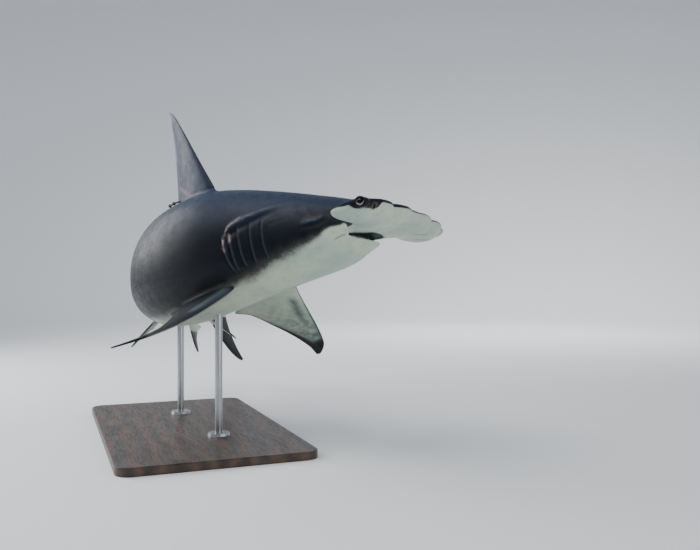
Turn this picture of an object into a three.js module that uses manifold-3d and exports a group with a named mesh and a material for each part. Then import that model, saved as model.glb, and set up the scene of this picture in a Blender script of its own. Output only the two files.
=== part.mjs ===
// Great hammerhead shark, a life-size still model on a plain display stand.
// Millimetres, +Z up. The shark heads towards +X and turns to its own left, +Y.
import * as THREE from 'three';
import { mergeVertices } from 'three/addons/utils/BufferGeometryUtils.js';
import Module from 'manifold-3d';

const wasm = await Module();
wasm.setup();

// Whole animal. A station is a share of LENGTH behind the snout.
const LENGTH = 3500;
const GAP = 0.3;
const AROUND = 32;
const SNOUT_HEIGHT = 985;

// Pose in degrees: how the spine turns, climbs and banks from the snout to the tail.
const FRONT_YAW = 48;
const TRUNK_BEND = { angle: -57, from: 0.133, to: 0.493 };
const TAIL_BEND = { angle: -45, from: 0.44, to: 0.94 };
const HEAD_TURN = { angle: -6.2, from: 0.051, to: 0.151 };
const CLIMB = 10.6;
const TAIL_CLIMB = { angle: -10, from: 0.44, to: 0.94 };
const BANK = 4;
const HEAD_BANK = { angle: -9.2, from: 0.071, to: 0.151 };
const SPINE_STEPS = 500;

// Body section at each station: half width, height over the spine, depth under it, in shares of LENGTH.
// HEAD_RISE lifts the widest line of the section into the hammer.
const BODY = [
  [0.000, 0.026, 0.010, -0.0045],
  [0.025, 0.028, 0.019, 0.0025],
  [0.0475, 0.030, 0.028, 0.0052],
  [0.058, 0.032, 0.033, 0.0080],
  [0.068, 0.034, 0.037, 0.0157],
  [0.080, 0.037, 0.042, 0.0280],
  [0.105, 0.0455, 0.051, 0.037],
  [0.130, 0.051, 0.059, 0.041],
  [0.165, 0.057, 0.070, 0.046],
  [0.215, 0.067, 0.084, 0.053],
  [0.260, 0.074, 0.093, 0.059],
  [0.340, 0.078, 0.095, 0.064],
  [0.410, 0.0735, 0.088, 0.061],
  [0.490, 0.060, 0.070, 0.051],
  [0.590, 0.041, 0.043, 0.036],
  [0.680, 0.025, 0.025, 0.023],
  [0.730, 0.017, 0.018, 0.017],
  [0.760, 0.013, 0.015, 0.014],
];
const ROUNDNESS = 0.92;
const HEAD_RISE = [[0, 0.0085], [0.025, 0.0055], [0.05, 0.0025], [0.08, 0]];
const HEAD_START = 0.006;
const NECK_START = 0.105;
const BODY_END = 0.748;

// Hammer: front and rear margins as stations, swell above and below its edge, against the share of its half
// width.
const HAMMER_HALF = 0.1155;
const HAMMER_FRONT = [
  [0, 0.0042], [0.07, 0.0035], [0.25, 0], [0.41, 0.0028], [0.49, 0.0062], [0.57, 0.0033],
  [0.74, 0.0045], [0.82, 0.0090], [0.87, 0.0112], [0.92, 0.0115], [1, 0.0195],
];
const HAMMER_REAR = [
  [0, 0.1], [0.27, 0.088], [0.35, 0.0715], [0.43, 0.0620], [0.52, 0.0608], [0.68, 0.0617], [0.8, 0.0610],
  [0.93, 0.0592], [1, 0.0568],
];
const HAMMER_RIM = 0.0014;
const HAMMER_FRONT_HEIGHT = [[0, 0.0085], [0.5, 0.0070], [1, 0.0062]];
const HAMMER_REAR_HEIGHT = [[0, 0.0002], [0.35, 0.0016], [0.5, 0.0018], [0.8, 0.0015], [1, 0.0018]];
const HAMMER_OVER = [[0, 0.007], [0.4, 0.0055], [0.8, 0.0048], [1, 0.0045]];
const HAMMER_UNDER = [[0, 0.0090], [0.2, 0.0101], [0.5, 0.0105], [0.8, 0.0098], [1, 0.008]];
const HAMMER_SWELL = { front: 0.6, rear: 0.9 };
const HAMMER_ROWS = 26;
const HAMMER_COLUMNS = 9;
const WING_CUT = 0.046;

// Eye on the front corner of each wing.
const EYE_RADIUS = 19.5;
const EYE_OPENING = 16;
const EYE_STATION = 0.0210;
const EYE_SIDE = 0.1082;
const EYE_HEIGHT = 0.0052;
const LID_TUBE = 4.2;

// Mouth: an arch under the head, cut off along a plane, with the jaw a little open.
const MOUTH_FRONT = 0.0528;
const MOUTH_CORNER = 0.0805;
const MOUTH_LEVEL = [
  [0.0528, -0.0058], [0.0545, -0.0064], [0.0572, -0.0072], [0.0625, -0.0070], [0.071, -0.0058],
  [0.0805, -0.0048],
  [0.105, -0.0040],
];
const ARCH = [
  [0.0528, 0], [0.0532, 0.0115], [0.0545, 0.0195], [0.0572, 0.0258], [0.0625, 0.0305],
  [0.071, 0.0338], [0.0805, 0.0362],
];
const JAW_DROP = 20.5;
const JAW_TIP = 0.0585;
const JAW_DEPTH = [
  [0.0585, 0.0015], [0.0600, 0.0028], [0.063, 0.0046], [0.068, 0.0082], [0.074, 0.0152],
  [0.080, 0.0222], [0.105, 0.033],
];
const LIP = 1.5;
const TEETH_EACH_SIDE = 13;
const TOOTH_HEIGHT = 10;
const TOOTH_WIDTH = 8;

// Gills: five slits on each side, each behind a raised flap.
const GILLS = [
  { top: 0.1738, foot: 0.1722, high: 27, low: -8 },
  { top: 0.1870, foot: 0.1855, high: 24, low: -12 },
  { top: 0.2008, foot: 0.1966, high: 22, low: -14 },
  { top: 0.2098, foot: 0.2059, high: 17, low: -17 },
  { top: 0.2172, foot: 0.2105, high: 14, low: -17 },
];
const GILL_FLAP = 0.0098;
const GILL_RISE = 9;
const GILL_SINK = 14;

// Fins: root, outlines as [share of the span, leading edge, trailing edge], and thickness in millimetres.
const FIRST_DORSAL = {
  station: 0.262, height: 0.070, span: 0.168,
  outline: [
    [0, -0.016, 0.114], [0.125, -0.0075, 0.116], [0.15, -0.0008, 0.130], [0.18, 0.0038, 0.138],
    [0.23, 0.008, 0.124],
    [0.36, 0.019, 0.112],
    [0.55, 0.036, 0.104], [0.7, 0.051, 0.103], [0.86, 0.071, 0.103], [0.94, 0.085, 0.105], [1, 0.102, 0.107],
  ],
  thick: [[0, 62], [0.2, 46], [0.5, 26], [0.8, 13], [1, 5]],
};
const SECOND_DORSAL = {
  station: 0.618, height: 0.020, span: 0.066,
  outline: [
    [0, -0.004, 0.052], [0.28, 0.004, 0.058], [0.36, 0.008, 0.092], [0.46, 0.014, 0.074],
    [0.65, 0.026, 0.062], [0.85, 0.040, 0.060], [1, 0.054, 0.062],
  ],
  thick: [[0, 24], [0.4, 15], [1, 4]],
};
const ANAL = {
  station: 0.608, height: -0.016, span: 0.066,
  outline: [
    [0, -0.004, 0.056], [0.24, 0.005, 0.060], [0.32, 0.009, 0.084], [0.44, 0.016, 0.066],
    [0.65, 0.030, 0.057], [0.85, 0.044, 0.062], [1, 0.058, 0.067],
  ],
  thick: [[0, 24], [0.4, 15], [1, 4]],
};
const PECTORAL = {
  station: 0.212, side: 0.034, height: -0.0225, span: 0.177,
  outline: [
    [0, -0.010, 0.074], [0.14, -0.0035, 0.082], [0.22, 0.001, 0.108], [0.31, 0.0065, 0.092],
    [0.5, 0.016, 0.079], [0.7, 0.026, 0.068], [0.88, 0.038, 0.063], [0.95, 0.047, 0.0640],
    [1, 0.0575, 0.0650],
  ],
  thick: [[0, 62], [0.2, 46], [0.5, 27], [0.8, 14], [1, 5]],
};
const PECTORAL_SPAN = { left: 0.177, right: 0.168 };
const PECTORAL_DROP = { left: 39, right: 32 };
const PECTORAL_TWIST = { left: 10, right: 6 };
const PECTORAL_LIFT = { left: 0, right: 0.045 };
const PELVIC = {
  station: 0.470, side: 0.028, height: -0.034, span: 0.066,
  outline: [
    [0, -0.004, 0.046], [0.25, 0.004, 0.050], [0.34, 0.008, 0.066], [0.46, 0.014, 0.054],
    [0.7, 0.027, 0.051], [0.9, 0.041, 0.056], [1, 0.051, 0.059],
  ],
  thick: [[0, 30], [0.4, 17], [1, 4]],
};
const PELVIC_DROP = 38;
const UPPER_LOBE = {
  station: 0.728, height: 0.002, angle: 36, span: 0.272,
  outline: [
    [0, -0.014, 0.016], [0.08, -0.016, 0.026], [0.2, -0.017, 0.036], [0.4, -0.016, 0.033],
    [0.6, -0.013, 0.026],
    [0.76, -0.010, 0.018], [0.8, -0.009, 0.014], [0.84, -0.008, 0.024], [0.9, -0.006, 0.022],
    [0.97, -0.003, 0.012],
    [1, 0, 0.004],
  ],
  thick: [[0, 82], [0.08, 62], [0.2, 42], [0.5, 23], [0.8, 12], [1, 5]],
};
const LOWER_LOBE = {
  station: 0.742, height: -0.004, angle: -54, span: 0.140,
  outline: [
    [0, -0.016, 0.046], [0.15, -0.016, 0.045], [0.3, -0.012, 0.034], [0.5, -0.005, 0.028],
    [0.75, 0.005, 0.026],
    [0.92, 0.015, 0.027], [1, 0.022, 0.028],
  ],
  thick: [[0, 40], [0.3, 22], [1, 4]],
};

// Tag beside the foot of the first dorsal fin; angle 90 is the ridge of the back. spineRun is counted along
// the spine: on the outside of the bend the tag comes to 149 mm from end to end.
const TAG = { station: 0.301, angle: 110, spineRun: 120, radius: 5, bead: 9, rise: 8 };

// Stand.
const BASE = { length: 1500, width: 820, height: 36, corner: 60, bevel: 5 };
const ROD_STATIONS = { stand_rod_front: 0.285, stand_rod_rear: 0.470 };
const ROD_RADIUS = 17;
const FLANGE = { radius: 52, height: 12 };

// Colours.
const finish = (color, roughness, metalness = 0) => () => (
  new THREE.MeshStandardMaterial({ color, roughness, metalness })
);
const back = finish(0x3a4047, 0.5);
const belly = finish(0xb9c0b2, 0.5);
const eyeball = finish(0x0b0b0d, 0.08);
const tagging = finish(0x16181b, 0.6);
const plinth = finish(0x2b2c2e, 0.45);
const steel = finish(0x9a9da1, 0.3, 1);

// Smooth curve through the rows of a table, whose first column is the place.
function follow(table, place, column = 1) {
  const last = table.length - 1;
  const x = Math.min(Math.max(place, table[0][0]), table[last][0]);
  let i = 0;
  while (i < last - 1 && x > table[i + 1][0]) i += 1;
  const slope = (k) => {
    const a = Math.max(k - 1, 0);
    const b = Math.min(k + 1, last);
    return (table[b][column] - table[a][column]) / (table[b][0] - table[a][0]);
  };
  const width = table[i + 1][0] - table[i][0];
  const t = (x - table[i][0]) / width;
  const rise = table[i + 1][column] - table[i][column];
  const start = slope(i) * width;
  const end = slope(i + 1) * width;
  return table[i][column] + t * start
    + t * t * (3 * rise - 2 * start - end) + t * t * t * (start + end - 2 * rise);
}

const ramp = (x, from, to) => THREE.MathUtils.smoothstep(x, from, to);
const ease = (turn, station) => turn.angle * ramp(station, turn.from, turn.to);
const ahead = (turn, station) => turn.angle * (1 - ramp(station, turn.from, turn.to));

// Directions of the spine at a station: forward, left and up.
function axesAt(station) {
  const yaw = FRONT_YAW + ease(TRUNK_BEND, station) + ease(TAIL_BEND, station) + ahead(HEAD_TURN, station);
  const pitch = CLIMB + ease(TAIL_CLIMB, station);
  const roll = BANK + ahead(HEAD_BANK, station);
  const turn = new THREE.Matrix4().makeRotationFromEuler(new THREE.Euler(
    THREE.MathUtils.degToRad(roll),
    -THREE.MathUtils.degToRad(pitch),
    THREE.MathUtils.degToRad(yaw),
    'ZYX',
  ));
  const axes = [new THREE.Vector3(), new THREE.Vector3(), new THREE.Vector3()];
  turn.extractBasis(...axes);
  return axes;
}

const SPINE = [new THREE.Vector3(0, 0, SNOUT_HEIGHT)];
for (let i = 1; i <= SPINE_STEPS; i += 1) {
  const [forward] = axesAt((i - 0.5) / SPINE_STEPS);
  SPINE.push(SPINE[i - 1].clone().addScaledVector(forward, -LENGTH / SPINE_STEPS));
}

function spineAt(station) {
  const step = Math.min(Math.max(station, 0), 1) * SPINE_STEPS;
  const i = Math.min(Math.floor(step), SPINE_STEPS - 1);
  const point = SPINE[i].clone().lerp(SPINE[i + 1], step - i);
  const past = station - Math.min(Math.max(station, 0), 1);
  return point.addScaledVector(axesAt(station)[0], -past * LENGTH);
}

// A point of the straight shark, x forward from the snout, y left, z up, moved to where the pose has it.
function pose(point) {
  const station = -point.x / LENGTH;
  const [, left, up] = axesAt(station);
  return spineAt(station).addScaledVector(left, point.y).addScaledVector(up, point.z);
}

// The same, with all of a piece carried stiffly by one station.
function poseFrom(station) {
  const [forward, left, up] = axesAt(station);
  const origin = spineAt(station);
  return (point) => origin.clone()
    .addScaledVector(forward, point.x + station * LENGTH)
    .addScaledVector(left, point.y)
    .addScaledVector(up, point.z);
}

const sides = { left: 1, right: -1 };
const shares = (station, side, height) => new THREE.Vector3(-station, side, height).multiplyScalar(LENGTH);

// Closed surface through rings of points, whose second half mirrors the first.
function skinOver(rings) {
  const count = rings[0].length;
  const points = [];
  rings.forEach((ring) => points.push(...ring));
  const centres = [rings[0], rings[rings.length - 1]].map((ring) => (
    ring.reduce((sum, p) => sum.add(p), new THREE.Vector3()).divideScalar(count)
  ));
  points.push(...centres);
  const index = [];
  for (let r = 0; r < rings.length - 1; r += 1) {
    for (let i = 0; i < count; i += 1) {
      const a = r * count + i;
      const b = r * count + ((i + 1) % count);
      const c = a + count;
      const d = b + count;
      if (i < count / 2) index.push(a, b, d, a, d, c);
      else index.push(a, b, c, b, d, c);
    }
  }
  const lastRing = (rings.length - 1) * count;
  for (let i = 0; i < count; i += 1) {
    const next = (i + 1) % count;
    index.push(points.length - 2, next, i);
    index.push(points.length - 1, lastRing + i, lastRing + next);
  }
  const geometry = new THREE.BufferGeometry().setFromPoints(points);
  geometry.setIndex(index);
  return geometry;
}

function solid(geometry) {
  const bare = geometry.clone();
  const extras = Object.keys(bare.attributes).filter((name) => name !== 'position');
  extras.forEach((name) => bare.deleteAttribute(name));
  const merged = mergeVertices(bare, 1e-3);
  const vertProperties = new Float32Array(merged.attributes.position.array);
  const triVerts = new Uint32Array(merged.index.array);
  for (let pass = 0; pass < 2; pass += 1) {
    const made = new wasm.Manifold(new wasm.Mesh({ numProp: 3, vertProperties, triVerts }));
    if (made.volume() > 0) return made;
    for (let i = 0; i < triVerts.length; i += 3) {
      [triVerts[i], triVerts[i + 1]] = [triVerts[i + 1], triVerts[i]];
    }
  }
  throw new Error('a surface is not closed');
}

const loft = (rings, place = pose) => solid(skinOver(rings.map((ring) => ring.map(place))));
const join = (pieces) => pieces.reduce((sum, piece) => sum.add(piece));

// The largest closed surface of a solid.
function whole(piece) {
  return piece.decompose().sort((a, b) => b.volume() - a.volume())[0];
}

function toGeometry(piece) {
  const mesh = piece.getMesh();
  const geometry = new THREE.BufferGeometry();
  geometry.setAttribute('position', new THREE.BufferAttribute(new Float32Array(mesh.vertProperties), 3));
  geometry.setIndex(Array.from(mesh.triVerts));
  geometry.computeVertexNormals();
  return geometry;
}

// Point of the body's skin: angle 0 is the left side, 90 the back.
function skinPoint(station, angle, lift = 0) {
  const turn = THREE.MathUtils.degToRad(angle);
  const across = Math.cos(turn);
  const upward = Math.sin(turn);
  const half = follow(BODY, station, 1) * LENGTH + lift;
  const rise = follow(HEAD_RISE, station) * LENGTH;
  const tall = follow(BODY, station, upward > 0 ? 2 : 3) * LENGTH - Math.sign(upward) * rise + lift;
  const y = half * Math.sign(across) * Math.abs(across) ** ROUNDNESS;
  const z = rise + tall * Math.sign(upward) * Math.abs(upward) ** ROUNDNESS;
  return new THREE.Vector3(-station * LENGTH, y, z);
}

function bodyRing(station, lift) {
  return Array.from({ length: AROUND }, (_, i) => skinPoint(station, (360 * i) / AROUND, lift));
}

function bodyLength(from, to, rings, lift = 0) {
  return loft(Array.from({ length: rings + 1 }, (_, i) => bodyRing(from + ((to - from) * i) / rings, lift)));
}

// Lengths of the body behind the head, with the gap halved onto each.
const HALF_GAP = GAP / 2 / LENGTH;
const LENGTHS = [
  ['neck', NECK_START, 0.245, 10],
  ['trunk_front', 0.245, 0.38, 9],
  ['trunk_rear', 0.38, 0.52, 9],
  ['tail_front', 0.52, 0.635, 7],
  ['tail_stem', 0.635, BODY_END, 7],
];
function lengthSolid([, from, to, rings]) {
  return bodyLength(from + HALF_GAP, to - HALF_GAP, rings);
}

// The whole body a gap larger, which trims what grows from it.
const grownRings = [bodyRing(NECK_START - HALF_GAP * 3, GAP)];
LENGTHS.forEach(([, from, to, rings]) => {
  for (let i = 0; i <= rings; i += 1) {
    if (i > 0 || from === NECK_START) {
      const clear = i === rings && to === BODY_END ? HALF_GAP : 0;
      grownRings.push(bodyRing(from + ((to - from) * i) / rings + clear, GAP));
    }
  }
});
const BODY_GROWN = loft(grownRings);

const STRAIGHT = new THREE.Vector3();
const FIN_COLUMNS = 7;

// Streamlined fin: rows of sections from root to tip, blunt in front and thin behind.
function finSolid(fin, { root, spanwise, chordwise, bend = STRAIGHT, place = pose, grow = 0, rows = 14 }) {
  const normal = new THREE.Vector3().crossVectors(spanwise, chordwise).normalize();
  const rings = [];
  for (let r = 0; r <= rows; r += 1) {
    const u = r / rows;
    const lead = follow(fin.outline, u, 1) * LENGTH - grow;
    const trail = follow(fin.outline, u, 2) * LENGTH + grow;
    const thick = follow(fin.thick, u);
    const line = root.clone().addScaledVector(spanwise, u * fin.span * LENGTH).addScaledVector(bend, u * u);
    const side = (sign, k) => {
      const c = (1 - Math.cos((Math.PI * k) / FIN_COLUMNS)) / 2;
      const edge = k === 0 ? 0 : 1;
      const half = (thick / 2) * 2.6 * Math.sqrt(c) * (1 - c) + edge + grow;
      return line.clone()
        .addScaledVector(chordwise, lead + (trail - lead) * c)
        .addScaledVector(normal, sign * half);
    };
    const ring = [];
    for (let k = 0; k <= FIN_COLUMNS; k += 1) ring.push(side(1, k));
    for (let k = FIN_COLUMNS; k >= 1; k -= 1) ring.push(side(-1, k));
    rings.push(ring);
  }
  return loft(rings, place);
}

const BACKWARD = new THREE.Vector3(-1, 0, 0);
const turned = (angle) => {
  const a = THREE.MathUtils.degToRad(angle);
  return new THREE.Vector3(-Math.cos(a), 0, Math.sin(a));
};

function medianFin(fin, upward, rows) {
  const piece = finSolid(fin, {
    root: shares(fin.station, 0, fin.height),
    spanwise: new THREE.Vector3(0, 0, upward),
    chordwise: BACKWARD,
    rows,
  });
  return whole(piece.subtract(BODY_GROWN));
}

function pairedFin(fin, side, drop, { rows, lift = 0, twist = 0, grow = 0 }) {
  const a = THREE.MathUtils.degToRad(drop);
  const b = THREE.MathUtils.degToRad(twist);
  const upper = new THREE.Vector3(0, side * Math.sin(a), Math.cos(a));
  return finSolid(fin, {
    bend: upper.clone().multiplyScalar(lift * LENGTH),
    root: shares(fin.station, side * fin.side, fin.height),
    spanwise: new THREE.Vector3(0, side * Math.cos(a), -Math.sin(a)),
    chordwise: BACKWARD.clone().multiplyScalar(Math.cos(b)).addScaledVector(upper, -Math.sin(b)),
    place: poseFrom(fin.station + 0.035),
    rows,
    grow,
  });
}

const pectoralFin = (name, grow = 0) => (
  pairedFin({ ...PECTORAL, span: PECTORAL_SPAN[name] }, sides[name], PECTORAL_DROP[name], {
    rows: 16, lift: PECTORAL_LIFT[name], twist: PECTORAL_TWIST[name], grow,
  })
);

// Tail fin: the upper lobe carries the end of the spine, the lower lobe grows from it.
function lobe(fin, grow = 0) {
  const spanwise = turned(fin.angle);
  const chordwise = turned(fin.angle - 90 * Math.sign(fin.angle));
  return finSolid(fin, { root: shares(fin.station, 0, fin.height), spanwise, chordwise, rows: 15, grow });
}

// Hammer: wing-like sections set along its width, cut square with rounded edges at the tips.
function hammerSolid() {
  const swell = (c) => c ** HAMMER_SWELL.front * (1 - c) ** HAMMER_SWELL.rear;
  const fullest = swell(HAMMER_SWELL.front / (HAMMER_SWELL.front + HAMMER_SWELL.rear));
  const rings = [];
  for (let r = 0; r <= HAMMER_ROWS; r += 1) {
    const v = Math.sin((Math.PI / 2) * ((2 * r) / HAMMER_ROWS - 1));
    const share = Math.abs(v);
    const blunt = 0.4 + 0.6 * Math.sqrt(1 - share ** 14);
    const front = follow(HAMMER_FRONT, share);
    const rear = follow(HAMMER_REAR, share);
    const middle = (front + rear) / 2;
    const frontHeight = follow(HAMMER_FRONT_HEIGHT, share);
    const rearHeight = follow(HAMMER_REAR_HEIGHT, share);
    const reach = ((rear - front) / 2) * (0.3 + 0.7 * blunt);
    const side = (sign, k) => {
      const c = (1 - Math.cos((Math.PI * k) / HAMMER_COLUMNS)) / 2;
      const edge = frontHeight + (rearHeight - frontHeight) * c;
      const full = follow(sign > 0 ? HAMMER_OVER : HAMMER_UNDER, share) * (swell(c) / fullest);
      const rim = k === 0 ? 0 : HAMMER_RIM;
      return shares(middle + reach * (2 * c - 1), v * HAMMER_HALF, edge + sign * (full + rim) * blunt);
    };
    const ring = [];
    for (let k = 0; k <= HAMMER_COLUMNS; k += 1) ring.push(side(1, k));
    for (let k = HAMMER_COLUMNS; k >= 1; k -= 1) ring.push(side(-1, k));
    rings.push(ring);
  }
  return loft(rings);
}

// Half width of the jaw at the level of the mouth: the arch in front, the whole head behind its corners.
function archHalf(station) {
  if (station < MOUTH_CORNER) return follow(ARCH, station);
  const sine = -follow(MOUTH_LEVEL, station) / follow(BODY, station, 3);
  return follow(BODY, station, 1) * Math.sqrt(1 - sine ** (2 / ROUNDNESS)) ** ROUNDNESS;
}

// The jaw's tip lies a little behind the front of the arch and is rounder.
function jawHalf(station) {
  const tip = THREE.MathUtils.clamp((station - JAW_TIP + 0.0006) / 0.012, 0, 1);
  return archHalf(station) * Math.sin((Math.PI / 2) * tip) ** 0.5;
}

// Rows of the jaw, close together at its tip, which the cut above it follows.
const JAW_ROWS = Array.from({ length: 13 }, (_, i) => {
  const length = NECK_START - HALF_GAP - JAW_TIP;
  return JAW_TIP + length * (i / 12) ** 1.3;
});

function jawDrop(station) {
  const open = THREE.MathUtils.clamp((MOUTH_CORNER - station) / (MOUTH_CORNER - JAW_TIP), 0, 1);
  return JAW_DROP * (1 - (1 - open) ** 2);
}

// All that lies under the mouth's plane inside the arch, and right across behind its corners.
function underMouth() {
  const deep = -0.1 * LENGTH;
  const rings = [MOUTH_FRONT, ...JAW_ROWS, NECK_START + 0.01].map((station) => {
    const wide = (station > MOUTH_CORNER ? 0.06 : archHalf(station)) * LENGTH + LIP;
    const level = follow(MOUTH_LEVEL, station) * LENGTH + HALF_GAP * LENGTH;
    const x = -station * LENGTH;
    return [[-wide, deep], [wide, deep], [wide, level], [-wide, level]]
      .map(([y, z]) => new THREE.Vector3(x, y, z));
  });
  return loft(rings);
}

// Hollow of the palate above the teeth.
function palate() {
  const rings = [];
  const from = MOUTH_FRONT + 0.0035;
  const to = MOUTH_CORNER - 0.004;
  for (let i = 0; i <= 8; i += 1) {
    const station = from + ((to - from) * i) / 8;
    const half = archHalf(station) * LENGTH - 9;
    const level = follow(MOUTH_LEVEL, station) * LENGTH;
    const high = 6 + 12 * Math.sin((Math.PI * (i + 1)) / 10);
    rings.push(Array.from({ length: 12 }, (_, k) => {
      const a = (2 * Math.PI * k) / 12;
      const z = level + (Math.sin(a) > 0 ? high * Math.sin(a) : 20 * Math.sin(a));
      return new THREE.Vector3(-station * LENGTH, Math.max(half, 6) * Math.cos(a), z);
    }));
  }
  return loft(rings);
}

// Lower jaw: from its rounded tip back to the throat, opened downwards in front.
function jawSolid() {
  const [from] = JAW_ROWS;
  const rings = JAW_ROWS.map((station) => {
    const level = follow(MOUTH_LEVEL, station) * LENGTH - HALF_GAP * LENGTH;
    const depth = follow(JAW_DEPTH, station) * LENGTH;
    const half = jawHalf(station) * LENGTH;
    const shut = 1 - ramp(station, MOUTH_CORNER - 0.012, MOUTH_CORNER);
    const trough = 9 * ramp(station, from + 0.003, from + 0.012) * shut;
    const drop = jawDrop(station);
    const ring = [];
    for (let k = 0; k <= 14; k += 1) {
      const a = (Math.PI * k) / 14;
      ring.push(new THREE.Vector3(-station * LENGTH, half * Math.cos(a), level - drop - depth * Math.sin(a)));
    }
    [-0.82, -0.6, 0, 0.6, 0.82].forEach((share) => {
      const dip = Math.abs(share) > 0.7 ? 0 : trough;
      ring.push(new THREE.Vector3(-station * LENGTH, share * half, level - drop - dip));
    });
    return ring;
  });
  return loft(rings);
}

// Teeth along the arch, as small blades sunk in their jaw.
function teeth(upward) {
  const draw = seeded(upward > 0 ? 11 : 5);
  const made = [];
  for (let side = -1; side <= 1; side += 2) {
    for (let i = 0; i < TEETH_EACH_SIDE; i += 1) {
      const along = (i + 0.5 + 0.2 * (draw() - 0.5)) / TEETH_EACH_SIDE;
      const front = (upward > 0 ? JAW_TIP : MOUTH_FRONT) + 0.003;
      const station = front + (MOUTH_CORNER - 0.003 - front) * along ** 1.25;
      const half = upward > 0 ? jawHalf : archHalf;
      const inward = upward > 0 ? 10 : 5;
      const tall = TOOTH_HEIGHT * (1 - 0.35 * along) * (0.9 + 0.2 * draw());
      const level = follow(MOUTH_LEVEL, station) * LENGTH - (upward > 0 ? jawDrop(station) : 0);
      const room = Math.min(tall, jawDrop(station) * (upward > 0 ? 0.85 : 0.5));
      const geometry = new THREE.ConeGeometry(TOOTH_WIDTH / 2, room + 5, 4, 1);
      geometry.rotateY(Math.PI / 4);
      geometry.scale(1, 1, 0.55);
      geometry.rotateX((upward * Math.PI) / 2);
      geometry.translate(0, 0, (upward * (room - 5)) / 2);
      const slope = (half(station + 0.001) - half(station - 0.001)) / 0.002;
      geometry.rotateZ(-side * Math.atan2(1, Math.max(slope, 0.05)));
      const y = side * Math.max(half(station) * LENGTH - inward, 3);
      geometry.translate(-station * LENGTH, y, level);
      made.push(posed(geometry));
    }
  }
  return made;
}

function seeded(seed) {
  let state = seed;
  return () => {
    state = (state * 16807) % 2147483647;
    return state / 2147483647;
  };
}

function posed(geometry, place = pose) {
  const moved = geometry.clone();
  const { position } = moved.attributes;
  for (let i = 0; i < position.count; i += 1) {
    const p = place(new THREE.Vector3().fromBufferAttribute(position, i));
    position.setXYZ(i, p.x, p.y, p.z);
  }
  return solid(moved);
}

// Eye: a ball in its socket, ringed by the lids.
const eyeCentre = (side) => shares(EYE_STATION, side * EYE_SIDE, EYE_HEIGHT);
function eyeSolid(side, radius) {
  const ball = new THREE.SphereGeometry(radius, 16, 12);
  ball.translate(...eyeCentre(side).toArray());
  return posed(ball);
}
function socket(side) {
  const mound = new THREE.SphereGeometry(EYE_RADIUS + 5.5, 16, 10);
  mound.scale(1.45, 0.84, 0.84);
  mound.translate(...eyeCentre(side).toArray());
  mound.translate(0, 0, -1.5);
  const lids = new THREE.TorusGeometry(EYE_OPENING + 1.5, LID_TUBE, 6, 18);
  lids.rotateX(Math.PI / 2);
  lids.rotateZ(-side * 0.3);
  const out = Math.sqrt(EYE_RADIUS ** 2 - EYE_OPENING ** 2);
  lids.translate(...eyeCentre(side).toArray());
  lids.translate(out * Math.sin(0.3), side * out * Math.cos(0.3), 0);
  return { mound: posed(mound), lids: posed(lids) };
}
function eyeOpening(side) {
  const tube = new THREE.CylinderGeometry(EYE_OPENING, EYE_OPENING, 60, 18);
  tube.translate(0, 30, 0);
  if (side < 0) tube.rotateX(Math.PI);
  tube.rotateZ(-side * 0.3);
  tube.translate(...eyeCentre(side).toArray());
  return posed(tube);
}

// Nostril: a slit in the front margin, just inside the eye.
function nostril(side) {
  const slit = new THREE.SphereGeometry(1, 8, 6);
  slit.scale(26, 5, 13);
  slit.rotateZ(side * 0.5);
  slit.translate(...shares(0.0118, side * 0.0955, 0.0012).toArray());
  return posed(slit);
}

// Furrow that runs back from each corner of the mouth.
function furrow(side) {
  const groove = new THREE.SphereGeometry(1, 8, 6);
  groove.scale(22, 5, 3);
  groove.rotateY(-0.5);
  const half = archHalf(MOUTH_CORNER);
  groove.translate(...shares(MOUTH_CORNER + 0.006, side * (half + 0.001), -0.0165).toArray());
  return posed(groove);
}

// One gill flap: it lifts from the skin towards the slit behind it.
function gillFlap(gill, side) {
  const rows = 6;
  const columns = 2;
  const rings = [];
  for (let r = 0; r <= rows; r += 1) {
    const v = r / rows;
    const angle = gill.low + (gill.high - gill.low) * v;
    const slit = gill.foot + (gill.top - gill.foot) * v;
    const swell = Math.sin(Math.PI * (0.08 + 0.84 * v)) ** 0.7;
    const at = (c, lift) => skinPoint(slit - GILL_FLAP * (1 - c), side > 0 ? angle : 180 - angle, lift);
    const ring = [];
    for (let k = 0; k <= columns; k += 1) {
      ring.push(at(k / columns, (GILL_RISE * (k / columns) ** 1.3 + 1) * swell - 1));
    }
    for (let k = columns; k >= 0; k -= 1) ring.push(at(k / columns, -GILL_SINK));
    rings.push(ring);
  }
  return loft(rings);
}

// Tag: a short strand with two beads, lying along the right side of the back.
function tagSolid() {
  const along = (share) => (
    skinPoint(TAG.station + (share * TAG.spineRun) / LENGTH, TAG.angle, TAG.radius + TAG.rise * share)
  );
  const run = along(1).sub(along(0));
  const lie = new THREE.Quaternion().setFromUnitVectors(new THREE.Vector3(0, 1, 0), run.clone().normalize());
  const strand = new THREE.CapsuleGeometry(TAG.radius, run.length(), 2, 8);
  strand.applyQuaternion(lie);
  strand.translate(...along(0.5).toArray());
  const pieces = [posed(strand)];
  [0.45, 0.9].forEach((share) => {
    const bead = new THREE.SphereGeometry(TAG.bead, 8, 6);
    bead.scale(1, 1.6, 1);
    bead.applyQuaternion(lie);
    bead.translate(...along(share).toArray());
    pieces.push(posed(bead));
  });
  return whole(join(pieces).subtract(BODY_GROWN));
}

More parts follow.
